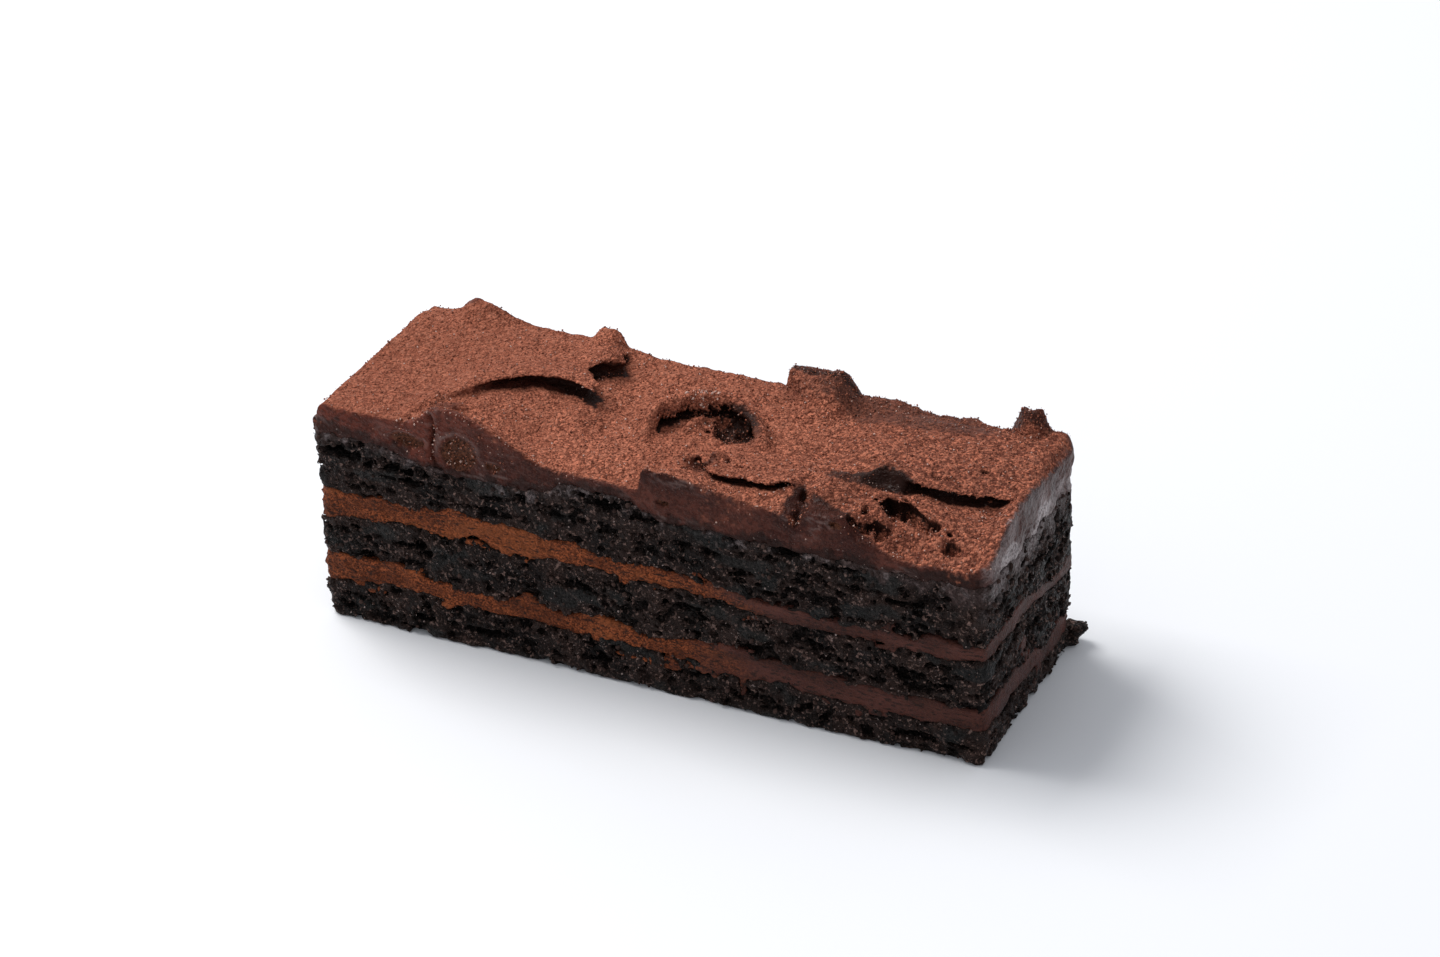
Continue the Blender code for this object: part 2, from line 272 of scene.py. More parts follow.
def skin(block, field):
    """The surface where a field crosses zero: points in millimetres, quads, and each cell column's point numbers."""
    inside = field < 0
    n = np.array(block.shape) - 1
    count = np.zeros(n, np.int8)
    for di, dj, dk in CORNERS:
        count += inside[di:di + n[0], dj:dj + n[1], dk:dk + n[2]]
    cells = np.argwhere((count > 0) & (count < 8))
    values = np.stack([field[tuple((cells + corner).T)] for corner in CORNERS], 1)
    total = np.zeros((len(cells), 3))
    crossings = np.zeros(len(cells))
    for a, b in EDGES:
        crosses = (values[:, a] < 0) != (values[:, b] < 0)
        share = np.where(crosses, values[:, a] / np.where(crosses, values[:, a] - values[:, b], 1.0), 0.0)
        total += crosses[:, None] * (CORNERS[a] + share[:, None] * (CORNERS[b] - CORNERS[a]))
        crossings += crosses
    points = block.low + block.cell * (cells + total / crossings[:, None])
    number = np.full(n, -1, np.int64)
    number[tuple(cells.T)] = np.arange(len(cells))
    quads = []
    for axis in range(3):
        one, two = (axis + 1) % 3, (axis + 2) % 3
        ahead = np.take(inside, range(1, inside.shape[axis]), axis)
        here = np.take(inside, range(inside.shape[axis] - 1), axis)
        edges = np.argwhere(here != ahead)
        edges = edges[(edges[:, one] > 0) & (edges[:, two] > 0) & (edges[:, one] < n[one]) & (edges[:, two] < n[two])]
        turn = here[tuple(edges.T)]
        step_one, step_two = np.eye(3, dtype=int)[one], np.eye(3, dtype=int)[two]
        ring = [number[tuple((edges - s).T)] for s in (0, step_one, step_one + step_two, step_two)]
        quad = np.stack(ring, 1)
        quads.append(np.where(turn[:, None], quad, quad[:, ::-1]))
    return points, np.concatenate(quads), cells, number


def relaxed(points, quads, share):
    """Each point moved a share of the way to the middle of its neighbours, which takes the steps out of a skin."""
    total, count = np.zeros_like(points), np.zeros(len(points))
    for a, b in ((0, 1), (1, 2), (2, 3), (3, 0)):
        for one, two in ((a, b), (b, a)):
            np.add.at(count, quads[:, one], 1.0)
            for axis in range(3):
                total[:, axis] += np.bincount(quads[:, one], points[quads[:, two], axis], len(points))
    return points + share * (total / np.maximum(count, 1.0)[:, None] - points)


def hollow_core(points, quads, cells, number, first, last, step, sides, split):
    """Swaps the fine quads of hidden seams, between two columns of cells, for a coarse cap on the same points.

    The seams lie above (side 1) or below (side -1) the heights in split, which has one for each column of cells.
    """
    i, j = cells[:, 0], cells[:, 1]
    in_core = (i >= first[0]) & (i <= last[0]) & (j >= first[1]) & (j <= last[1])
    above = points[:, 2] > split[i, j]
    polygons = []
    for side in sides:
        half = in_core & (above == (side > 0))
        quads = quads[~half[quads].all(1)]
        column = number if side < 0 else number[:, :, ::-1]
        seat = (column >= 0).argmax(2)
        ids = np.take_along_axis(column, seat[:, :, None], 2)[:, :, 0]
        stops = [list(range(first[a], last[a], step)) + [last[a]] for a in (0, 1)]
        for a0, a1 in zip(stops[0][:-1], stops[0][1:]):
            for b0, b1 in zip(stops[1][:-1], stops[1][1:]):
                front = range(a0, a1) if b0 == first[1] else (a0,)
                right = range(b0, b1) if a1 == last[0] else (b0,)
                back = range(a1, a0, -1) if b1 == last[1] else (a1,)
                left = range(b1, b0, -1) if a0 == first[0] else (b1,)
                loop = [ids[p, b0] for p in front] + [ids[a1, q] for q in right]
                loop += [ids[p, b1] for p in back] + [ids[a0, q] for q in left]
                polygons.append(loop if side > 0 else loop[::-1])
    return quads, polygons


def main_body(points, quads, polygons):
    """1 on the points of the largest connected part, 0 on loose scraps."""
    label = np.arange(len(points))
    edges = np.concatenate([quads[:, [0, 1]], quads[:, [1, 2]], quads[:, [2, 3]]])
    ties = [[loop[n], loop[n + 1]] for loop in polygons for n in range(len(loop) - 1)]
    if ties:
        edges = np.concatenate([edges, np.array(ties)])
    while True:
        least = np.minimum(label[edges[:, 0]], label[edges[:, 1]])
        new = label.copy()
        np.minimum.at(new, label[edges[:, 0]], least)
        np.minimum.at(new, label[edges[:, 1]], least)
        new = new[new]
        if (new == label).all():
            break
        label = new
    return label == np.bincount(label).argmax()


def mesh_piece(name, points, quads, polygons=()):
    """A smooth mesh object in metres, without loose scraps or points that nothing uses."""
    body = main_body(points, quads, polygons)
    quads = quads[body[quads[:, 0]]]
    polygons = [loop for loop in polygons if body[loop[0]]]
    used = np.zeros(len(points), bool)
    used[quads] = True
    for loop in polygons:
        used[loop] = True
    renumber = np.cumsum(used) - 1
    loops = np.concatenate([renumber[quads].ravel(), *[renumber[loop] for loop in polygons]])
    sizes = np.concatenate([np.full(len(quads), 4), [len(loop) for loop in polygons]])
    piece = mesh_object(name, points[used], loops, sizes)
    piece.data.shade_smooth()
    return piece, points[used]


def mesh_object(name, points, loops, sizes):
    """A mesh object from points in millimetres, the point numbers of all faces in a row, and each face's size."""
    mesh = bpy.data.meshes.new(name)
    mesh.vertices.add(len(points))
    places = (points + np.array([*SLICE_MIDDLE, 0.0])) * MM
    mesh.vertices.foreach_set("co", places.astype(np.float32).ravel())
    mesh.loops.add(len(loops))
    mesh.loops.foreach_set("vertex_index", loops.astype(np.int32))
    mesh.polygons.add(len(sizes))
    mesh.polygons.foreach_set("loop_start", (np.cumsum(sizes) - sizes).astype(np.int32))
    mesh.polygons.foreach_set("loop_total", sizes.astype(np.int32))
    mesh.update(calc_edges=True)
    mesh.validate()
    thing = bpy.data.objects.new(name, mesh)
    bpy.context.collection.objects.link(thing)
    return thing


def store(mesh, name, values):
    """Keeps one number for each point of a mesh, for the materials to read."""
    mesh.attributes.new(name, "FLOAT", "POINT").data.foreach_set("value", np.asarray(values, np.float32))


# ---------------------------------------------------------------- places on the cuts

OUTWARD = {"front": (0.0, -1.0), "right": (1.0, 0.0), "back": (0.0, 1.0), "left": (-1.0, 0.0)}


def on_cut(side, along, height):
    """Points on one cut of the slice, from how far along it they are and how high."""
    along, height = np.broadcast_arrays(np.asarray(along, float), np.asarray(height, float))
    lean = (along + HALF_WIDTH) / WIDTH
    if side == "front":
        x, y = along, np.full_like(along, -HALF_WIDTH)
    elif side == "back":
        x, y = along, np.full_like(along, HALF_WIDTH)
    elif side == "left":
        x, y = -HALF_LENGTH + BACK_LEFT_LEAN * lean, along
    else:
        x, y = HALF_LENGTH + BACK_RIGHT_LEAN * lean, along
    return np.stack([x, y, height], -1)


def all_round(rng, count, low, high, clear=1.0):
    """Random places on the four cuts, with the way out of the slice at each."""
    lengths = np.array([LENGTH, WIDTH, LENGTH, WIDTH]) - 2 * clear
    sides = rng.choice(4, count, p=lengths / lengths.sum())
    height = rng.uniform(low, high, count)
    share = rng.uniform(-0.5, 0.5, count)
    points, outward = np.zeros((count, 3)), np.zeros((count, 3))
    for number, (side, out) in enumerate(OUTWARD.items()):
        chosen = sides == number
        points[chosen] = on_cut(side, share[chosen] * lengths[number], height[chosen])
        outward[chosen, :2] = out
    return points, outward


def flat_on_cut(outward, wide, deep, tall):
    """Half sizes of lumps that lie flat on a cut: wide along it, deep into it and tall up it."""
    across = np.abs(outward[:, 1]) > 0.5
    wide, deep, tall = (np.broadcast_to(size, across.shape) for size in (wide, deep, tall))
    return np.stack([np.where(across, wide, deep), np.where(across, deep, wide), tall], -1)


# ---------------------------------------------------------------- sponge

# Cracks and pits torn in the front cut: middle along the cut, height, half width, half height, depth.
SPONGE_TEARS = (
    (-55.0, 34.4, 7.0, 0.55, 2.2), (-47.0, 33.0, 4.5, 0.45, 1.8), (-45.0, 31.2, 5.0, 0.40, 1.6),
    (-5.5, 35.4, 2.6, 1.10, 2.4), (27.5, 34.0, 2.6, 1.00, 2.0), (-55.0, 8.0, 3.2, 0.50, 2.4),
    (4.0, 8.2, 3.2, 0.50, 2.2), (-32.2, 22.2, 2.4, 0.70, 2.8), (-1.6, 22.6, 1.8, 0.60, 2.2),
    (41.5, 8.4, 3.8, 0.40, 1.8), (-24.0, 21.6, 3.0, 0.60, 2.0), (13.0, 30.5, 2.2, 0.70, 1.6),
    (-15.0, 31.0, 3.0, 0.50, 1.6), (-29.0, 29.0, 2.5, 0.60, 1.6), (8.0, 18.5, 3.4, 0.50, 1.8),
    (32.0, 17.0, 2.8, 0.60, 1.7), (47.0, 29.0, 3.4, 0.50, 1.7), (55.0, 14.5, 2.6, 0.60, 1.8),
    (-44.0, 18.0, 3.6, 0.50, 1.8), (-12.0, 17.5, 3.2, 0.60, 1.8), (-30.0, 3.5, 3.4, 0.60, 1.8),
    (22.0, 3.8, 3.4, 0.60, 1.8), (50.0, 3.4, 3.2, 0.60, 1.8), (-9.0, 3.6, 3.0, 0.50, 1.6),
)
# The same on the right-hand cut.
END_TEARS = ((-9.5, 6.6, 3.6, 1.5, 3.0), (14.0, 8.2, 3.2, 1.0, 3.0), (2.0, 15.0, 3.0, 0.6, 2.0), (8.0, 26.0, 3.0, 0.6, 2.0))


def pressed_patches(points, index):
    """Where the knife has pressed the crumb smooth: 1 on the patches."""
    patch = grain(points, 6.0, 40 + index, (1.7, 1.7, 0.8)) + 0.5 * grain(points, 2.4, 44 + index, (1.5, 1.5, 1.0))
    return ease(patch, 0.22, 0.6)


def smeared_over(points, index):
    """Frosting dragged down over the top sponge by the knife: 1 where it covers the crumb."""
    if index != 4:
        return np.zeros(len(points))
    below = seam_height(4, points[:, 0], points[:, 1]) - points[:, 2]
    reach = 2.8 + 3.0 * grain(points, 3.4, 46, (1.0, 1.0, 1.6)) + 2.0 * grain(points, 1.4, 47, (1.0, 1.0, 2.2))
    at_end = ease(points[:, 0], HALF_LENGTH - 1.8, HALF_LENGTH - 0.8)
    at_front = 0.60 * ease(points[:, 0], 24.0, 50.0) + 0.35 * (1.0 - ease(points[:, 0], -48.0, -30.0)) + 0.15
    share = np.maximum(at_end, at_front * (1.0 - ease(points[:, 1], -HALF_WIDTH + 1.5, -HALF_WIDTH + 2.5)))
    return ease(reach * share - below, -0.3, 0.7)


def crumb_relief(points, index):
    """Height of the crumb over its cut: rounded lumps with sharp creases between, flatter where it was pressed."""
    flat = np.maximum(0.75 * pressed_patches(points, index), 0.8 * smeared_over(points, index))
    lumps = 0.72 * np.abs(grain(points, 1.9, 1 + index, (1.2, 1.2, 0.9))) + 0.72 * np.abs(grain(points, 1.0, 5 + index))
    lumps += 0.26 * grain(points, 4.5, 13 + index) + 0.16 * grain(points, 0.8, 9 + index)
    return (lumps - 0.52) * (1.0 - flat) + 0.02 * flat


def open_pores(field, block, rng, index, low, high):
    """Carves pores and small caves in a sponge's cuts, mostly clear of the pressed patches."""
    area = 2 * (LENGTH + WIDTH) * (high - low)
    for density, sizes, sink in ((0.008, (0.7, 1.1), 0.2), (0.22, (0.40, 0.70), 0.1)):
        count = int(area * density)
        at, outward = all_round(rng, count, low, high)
        size = rng.uniform(*sizes, count)
        flat = flat_on_cut(outward, size * rng.uniform(0.8, 2.2, count), size * rng.uniform(0.9, 1.6, count),
                           size * rng.uniform(0.45, 0.9, count))
        covered = np.maximum(pressed_patches(at.astype(np.float32), index), smeared_over(at.astype(np.float32), index))
        keep = covered < rng.uniform(0.15, 1.0, count)
        press(field, block, (at - outward * (sink * size)[:, None])[keep], flat[keep], False)


def tear_open(field, block, side, tears):
    for along, height, half_width, half_height, deep in tears:
        at = on_cut(side, [along], [height])
        out = np.array([[*OUTWARD[side], 0.0]])
        press(field, block, at, flat_on_cut(out, half_width, deep, half_height), False)


def torn_corner(field, block):
    """The flap of crumb torn loose at the foot of the back right corner."""
    for x, y, z, size in ((63.0, 21.0, 2.6, (2.3, 2.0, 1.8)), (64.2, 21.7, 3.5, (1.3, 1.2, 1.0)), (62.4, 20.4, 1.4, (2.4, 2.4, 1.4)),
                          (63.4, 20.0, 4.0, (1.3, 1.2, 0.9))):
        press(field, block, np.array([[x, y, z]]), np.array([size]), True)


def sponge(name, index, cell):
    """One sponge between its seams, with crumbs, pores and cracks on its cuts."""
    grid = plan_grid()
    floor = 0.0 if index == 0 else seam_height(index - 1, *grid).min()
    roof = seam_height(index, *grid).max()
    low = (-HALF_LENGTH - OUTSIDE, -HALF_WIDTH - OUTSIDE, floor - 1.2)
    block = block_of(low, (HALF_LENGTH + OUTSIDE + 2.0, HALF_WIDTH + OUTSIDE + 1.0, roof + 1.2), cell)
    x, y = block.x[:, :, 0], block.y[:, :, 0]
    depth = cut_depth(block.x, block.y, block.z).astype(np.float32)
    field = -np.broadcast_to(depth, block.shape).copy()
    rng = np.random.default_rng(100 + index)
    open_pores(field, block, rng, index, floor, roof)
    tear_open(field, block, "front", SPONGE_TEARS)
    tear_open(field, block, "right", END_TEARS)
    if index == 0:
        torn_corner(field, block)
    near = (np.abs(field) < 2.2) | ((depth < CORE_DEPTH) & (depth > -OUTSIDE))
    places = points_where(block, near)
    field[near] -= crumb_relief(places, index)
    ragged = np.zeros(block.shape, np.float32)
    ragged[near] = ragged_edge(places, index)
    field = soft_max(field, block.z - seam_height(index, x, y)[:, :, None] - ragged, 0.4)
    if index:
        ragged[near] = ragged_edge(places, index - 1)
        field = soft_max(field, seam_height(index - 1, x, y)[:, :, None] - SEAM_LAP - block.z + ragged, 0.4)
    else:
        field = soft_max(field, 0.0 * ragged - block.z, 0.3)
    middle = (seam_height(index, x, y) + (seam_height(index - 1, x, y) if index else 0.0)) / 2
    piece, kept = carved_piece(name, block, field, (-1, 1), middle)
    flat = kept.astype(np.float32)
    store(piece.data, "pressed", pressed_patches(flat, index))
    store(piece.data, "smeared", smeared_over(flat, index))
    # Painted shade in the pits: the deeper below the cut, the darker.
    sunk = cut_depth(*kept.T)
    store(piece.data, "sunk", ease(sunk + 0.2 * grain(flat, 0.7, 3), -0.2, 1.5))
    # Painted sheen carried down the right end under the frosting, and a pale row of crumb just under the frosting.
    at_end = ease(kept[:, 0], HALF_LENGTH - 1.6, HALF_LENGTH - 0.4)
    below = seam_height(4, kept[:, 0], kept[:, 1]) - kept[:, 2]
    pale = ease(grain(flat, 1.5, 94, (1.0, 1.0, 1.7)) + 0.5 * grain(flat, 0.8, 95), 0.15, 0.7) * hump(below, 1.0, 1.4)
    store(piece.data, "sheen_and_pale", np.maximum(at_end * ease(below, 8.0, 1.0) * np.clip(1.3 * painted_end_sheen(flat) - 0.3, 0.0, 1.0), 0.8 * pale))
    return piece


def plan_grid():
    return np.meshgrid(np.linspace(-HALF_LENGTH, HALF_LENGTH + 2, 60), np.linspace(-HALF_WIDTH, HALF_WIDTH, 20), indexing="ij")


def carved_piece(name, block, field, hidden, split):
    """The skin of a carved block, with its hidden seams simplified away from the cuts."""
    points, quads, cells, number = skin(block, field.astype(np.float32))
    points = relaxed(points, quads, 0.35)
    reach = OUTSIDE + CORE_DEPTH
    first = [int(reach / block.cell) + 1] * 2
    last = [int((size + 2 * OUTSIDE - reach) / block.cell) for size in (LENGTH, WIDTH)]
    quads, caps = hollow_core(points, quads, cells, number, first, last, 12, hidden, split)
    piece, kept = mesh_piece(name, points, quads, caps)
    unwrap(piece.data, kept)
    return piece, kept


# ---------------------------------------------------------------- cream

# Smears of cream on the front cut: middle along it, height, half width, half height, and which band they belong to.
CREAM_SMEARS = (
    (-53.5, 7.0, 3.5, 0.9, 1), (-37.7, 7.5, 1.4, 0.5, 1), (3.5, 6.0, 3.6, 1.0, 1), (12.0, 6.8, 4.2, 0.8, 1),
    (18.7, 5.2, 0.8, 2.4, 1), (16.6, 2.2, 0.7, 0.9, 1), (41.5, 6.6, 3.6, 1.5, 1), (-2.5, 21.2, 1.7, 0.8, 3),
    (-14.0, 19.8, 0.8, 0.9, 3), (21.0, 19.5, 1.1, 0.5, 3), (2.2, 20.7, 0.8, 0.9, 3), (18.7, 18.2, 0.7, 1.3, 3),
    (59.5, 18.2, 2.6, 1.2, 3), (-32.2, 21.2, 2.4, 0.7, 3), (30.0, 18.9, 1.6, 0.5, 3), (-26.0, 20.6, 1.5, 0.6, 3),
)
# The same on the right-hand cut.
END_SMEARS = (
    (-3.0, 14.0, 2.2, 1.3, 1), (9.0, 12.0, 3.0, 1.6, 1), (-15.0, 14.0, 1.4, 2.0, 1), (2.0, 24.5, 2.6, 1.4, 3),
    (-10.0, 26.0, 2.0, 1.6, 3), (12.0, 22.5, 3.0, 1.5, 3), (16.0, 13.5, 1.8, 1.6, 1), (-17.0, 27.0, 1.2, 2.2, 3),
)


def patches(block, side, listed, depth, thickness):
    """Thin flat patches on one cut, from a list of middle along it, height, half width and half height."""
    along, gap = (block.x, block.y + HALF_WIDTH) if side == "front" else (block.y, HALF_LENGTH + 0.3 - block.x)
    outline = np.full(np.broadcast(along, block.z).shape, 9.0, np.float32)
    for middle, height, half_width, half_height in listed:
        far = np.hypot((along - middle) / half_width, (block.z - height) / half_height)
        outline = np.minimum(outline, (far - 1.0) * min(half_width, half_height))
    there = np.maximum(outline, np.where(gap < 2.6, -9.0, 9.0))
    return np.maximum(there, np.maximum(-depth, depth - thickness))


def cream(name, index, cell):
    """A cream band between two sponges, grainy on the left and smeared smooth on the right."""
    grid = plan_grid()
    floor = seam_height(index - 1, *grid).min() - 5.0
    roof = seam_height(index, *grid).max() + 4.0
    low = (-HALF_LENGTH - OUTSIDE, -HALF_WIDTH - OUTSIDE, max(floor, 0.4))
    block = block_of(low, (HALF_LENGTH + OUTSIDE + 0.6, HALF_WIDTH + OUTSIDE, roof), cell)
    x, y = block.x[:, :, 0], block.y[:, :, 0]
    depth = cut_depth(block.x, block.y, block.z).astype(np.float32)
    depth = np.broadcast_to(depth, block.shape)
    near = (depth < CORE_DEPTH) & (depth > -OUTSIDE)
    places = points_where(block, near)
    smooth = ease(places[:, 0], 2.0, 26.0)
    relief = np.zeros(block.shape, np.float32)
    relief[near] = (0.30 * grain(places, 5.0, 1 + index, (1.6, 1.6, 1.0))
                    + (0.50 - 0.34 * smooth) * np.abs(grain(places, 1.6, 5 + index))
                    + (0.34 - 0.26 * smooth) * np.abs(grain(places, 0.9, 9 + index)) - 0.42 + 0.16 * smooth)
    roof_edge, floor_edge = np.zeros(block.shape, np.float32), np.zeros(block.shape, np.float32)
    roof_edge[near], floor_edge[near] = ragged_edge(places, index), ragged_edge(places, index - 1)
    roof_gap = block.z - seam_height(index, x, y)[:, :, None] - roof_edge
    floor_gap = seam_height(index - 1, x, y)[:, :, None] - SEAM_LAP - block.z + floor_edge
    band = soft_max(roof_gap, floor_gap, 0.4)
    field = soft_max(-(depth + relief), band, 0.4)
    smears = np.full(block.shape, 9.0, np.float32)
    for side, listed in (("front", CREAM_SMEARS), ("right", END_SMEARS)):
        mine = [smear[:4] for smear in listed if smear[4] == index]
        smears = np.minimum(smears, patches(block, side, mine, depth + relief, 1.0))
    fleck = np.full(block.shape, 9.0, np.float32)
    beyond = np.maximum(roof_gap, floor_gap)[near]
    fleck[near] = 1.4 * (0.42 + 0.10 * np.clip(beyond, 0, 9) - grain(places, 2.3, 30 + index, (1.7, 1.7, 0.8)))
    smears = np.minimum(smears, np.maximum(fleck, np.maximum(-depth - relief, depth - 0.9)))
    field = np.minimum(field, smears + 0.5 * roof_edge)
    middle = (seam_height(index, x, y) + seam_height(index - 1, x, y)) / 2
    piece, kept = carved_piece(name, block, field, (-1, 1), middle)
    left = 5.0 * wander(8, kept[:, 0] / 6.0, kept[:, 2] / 3.0)
    store(piece.data, "smooth", ease(kept[:, 0] + left, 2.0, 24.0))
    return piece


# ---------------------------------------------------------------- frosting


def front_outline(x):
    """Height of the frosting where the front cut meets its top."""
    left = 43.2 - 3.3 * ease(x, -30, -15) + 4.2 * hump(x, -37, np.where(x < -37, 3.8, 11.0))
    middle = 4.3 * ease(x, 0.2, 1.4) * (1.0 - 0.7 * ease(x, 3, 26)) * (1.0 - ease(x, 28, 29))
    right = -3.1 * ease(x, 36, 50) * (1.0 - 0.6 * ease(x, 58, HALF_LENGTH))
    drape = 2.4 * shelf(x, 29.5, 38.5, 3.5) - 1.4 * hump(x, 28.9, 0.8)
    return left + middle + right + drape


def flap_rise(x):
    return 4.6 * ease(x, 10.7, 11.2) * (1.0 - ease(x, 20.5, 25.0))


def plain_back(x):
    """Height of the frosting along the back cut, without what stands up at its right half."""
    peaks = 3.5 * hump(x, -50.6, np.where(x < -50.6, 3.2, 6.0)) + 2.8 * shelf(x, -26.8, -21.6, 2.6)
    return 40.5 + 1.6 * ease(x, -14, -24) + peaks + 1.3 * shelf(x, 21, 34, 12) + 1.8 * ease(x, 56, 60)


def back_outline(x):
    return plain_back(x) + flap_rise(x)


def base_height(x, y):
    """The frosting under its raised sheets: a ridge at the cut, a plain, a strip by the long slit and a sloping field."""
    ridge_back = 3.4 * ease(x, -47, -43) * (1.0 - ease(x, -40, -19)) * (1.0 - ease(y, -7, 2))
    plain = 40.5 + 0.8 * ease(y, 6, 20) + 0.3 * wander(6, x / 7.0, y / 7.0) - 0.5 * mound(x, y, (-13, -5), (3.0, 1.6))
    strip = 1.5 * shelf(x, 4, 27, 5) * (1.0 - ease(y, -15, -8))
    field = 2.1 * ease(x, 25, 33) * (1.0 - 0.6 * ease(y, 6, 18))
    field = field + 1.9 * shelf(x, 25, 35, 6) * ease(y, -17.5, -14.5) * (1.0 - ease(y, -10, -5))
    slope = -3.3 * ease(x, 38, 50) * (1.0 - ease(y, -19, -8))
    slope = slope - 2.7 * ease(x, 34, 62) * (1.0 - ease(x, 58, 62)) * hump(y, -6.0, 5.5)
    inside = plain + ridge_back + strip + field + slope
    by_lip = ease(x, -44, -38) * (1.0 - ease(x, -18, -12)) * ease(y, -12, -5) * (1.0 - ease(y, 3, 9))
    inside = inside * (1.0 - by_lip) + (43.4 - 0.105 * (x + 36.0)) * by_lip
    near_front = 1.0 - ease(y, -HALF_WIDTH, -HALF_WIDTH + 6.0)
    near_back = 1.0 - ease(y, HALF_WIDTH, HALF_WIDTH - 6.0)
    return inside * (1.0 - near_front - near_back) + front_outline(x) * near_front + plain_back(x) * near_back


def terrace_sheet(x, y, base):
    """The tall left terrace: plan distance into it, top height, reach of the cave under its lip, lip thickness."""
    line = 0.3 - 0.047 * (x + 24.0) ** 2 + 0.2 * wander(31, x / 2.0, y / 9.0)
    behind = (y - line) / np.sqrt(1.0 + (0.094 * (x + 24.0)) ** 2)
    notches = 5.0 * hump(y, 7.6, 4.6) + 2.4 * ease(y, 11, 15) - 1.9 * hump(y, 12.0, 1.3)
    notches = notches + 1.0 * wander(32, y / 1.6, x / 3.0)
    into = soft_min(behind, -16.6 - notches - x, 1.0)
    lip = ease(x, -48, -38) * hump(behind, 0.0, 8.0) 
    top = 43.3 + 2.0 * lip + 0.9 * mound(x, y, (-21.5, 13), (3, 4)) + 0.3 * wander(5, x / 8.0, y / 8.0)
    near_back = 1.0 - ease(y, HALF_WIDTH, HALF_WIDTH - 7.0)
    near_front = 1.0 - ease(y, -HALF_WIDTH, -HALF_WIDTH + 6.0)
    top = top * (1.0 - near_back - near_front) + back_outline(x) * near_back + front_outline(x) * near_front
    reach = 4.4 * shelf(x, -35.5, -17, 4) * (1.0 - ease(y, 1.5, 4.0)) + 3.4 * hump(y, 7.4, 3.6) + 2.2 * hump(y, 16.0, 2.0)
    return into, top, reach, 0.5


def curl_sheet(x, y, base):
    """The torn curl: the skin behind an arch, rolled up into a thick crest."""
    into = (np.hypot((x - 4.3) / 8.5, (y + 3.5) / 8.7) - 1.0) * 8.6 + 0.4 * wander(33, x / 1.3, y / 1.3)
    climb = 2.2 + 2.0 * ease(into, -0.3, 1.5)
    height = climb * (1.0 - 0.75 * ease(into, 1.6, 4.2) - 0.25 * ease(into, 4.0, 7.5))
    height = height * ease(y, -9, 0) * (1.0 - 0.5 * ease(x, 4, 12.5))
    return into, base + height - 0.5 * ease(into, 4.0, 9.0), (3.0 + 1.6 * ease(x, 3, 8)) * ease(y, -7, -2), 1.5 - 0.8 * ease(x, 2.0, 7.0)


def fold_sheet(x, y, base):
    """The fold behind the long slit that runs beside the front cut."""
    line = -16.5 + 0.12 * np.maximum(x - 13.6, 0.0) + 0.15 * np.maximum(13.6 - x, 0.0) ** 2 + 0.2 * wander(34, x / 2.0, y / 9.0)
    into = soft_min(soft_min(y - line, 28.4 - x, 1.0), x - 8.0 + 0.3 * (y + 14), 2.0)
    rise = 2.9 * ease(x, 6, 12) * (1.0 - 0.8 * ease(y, -13, -1)) - 0.6 * ease(y, -4, 2) - 1.2 * strip_height(x, y)
    rise = rise * (1.0 - 0.95 * ease(x, 24, 28.5))
    return into, base + rise + 0.25 * wander(7, x / 4.0, y / 4.0), 3.0 * shelf(x, 8.0, 29, 2) * ease(y, -19, -16), 0.5


def strip_height(x, y):
    return shelf(x, 4, 27, 5) * (1.0 - ease(y, -15, -8))


def crest_sheet(x, y, base):
    """The ridge over the right-hand slit. Its left part shows a steep bare face, the rest overhangs."""
    line = -7.2 + 1.6 * hump(x, 39.3, 2.3) - 1.6 * hump(x, 33.5, 3.0) + 3.0 * ease(x, 50, 60) + 0.2 * wander(35, x / 2.0, y / 9.0)
    into = soft_min(y - line, 60.5 - x, 1.5)
    peak = 2.0 * np.exp(-(((x - 39.2) / np.where(x < 39.2, 2.0, 4.0)) ** 2)) * (1.0 - ease(into, 0.4, 5.0))
    top = 43.6 + peak - 1.2 * ease(x, 50, 60) * (1.0 - ease(y, -2, 10)) - 1.2 * ease(y, 0, 14) - 1.6 * (1.0 - ease(x, 28, 36))
    near_back = 1.0 - ease(y, HALF_WIDTH, HALF_WIDTH - 7.0)
    top = top * (1.0 - near_back) + plain_back(x) * near_back - 3.0 * (1.0 - ease(x, 26, 31))
    reach = 4.2 * shelf(x, 43.5, 60.5, 2.5) - 1.5 * shelf(x, 35.0, 43.5, 3)
    return into, top + 0.2 * wander(36, x / 2.5, y / 2.5), reach, 0.4


def flap_sheet(x, y, base):
    """The flap that stands at the back cut, with a dusted slope in front of it and an upright left side."""
    into = soft_min(x - 11.1 - 0.5 * (1.0 - ease(y, 12.0, 19.0)), 25.0 - x, 0.3)
    slope = ease(y, 16.0 - 9.0 * ease(x, 11.0, 18.0), 18.0) ** 1.3
    top = base + (back_outline(x) - base) * slope + 0.25 * wander(37, x / 1.5, y / 1.5) * slope
    return into, top, 0.0 * x, 0.4


def corner_sheet(x, y, base):
    """The torn peak at the back cut near the right corner."""
    far = np.hypot((x - 55.3) / 3.6, (y - 20.6) / 3.8) + 0.12 * wander(38, x / 1.6, y / 1.6)
    top = base + (45.6 - base) * ease(far, 1.15, 0.45) - 0.6 * ease(-far, -0.35, -0.1) + 0.35 * wander(40, x / 1.1, y / 1.1)
    return 0.0 * x + 5.0, top, 0.0 * x, 0.4


SHEETS = (terrace_sheet, curl_sheet, fold_sheet, crest_sheet, flap_sheet, corner_sheet)

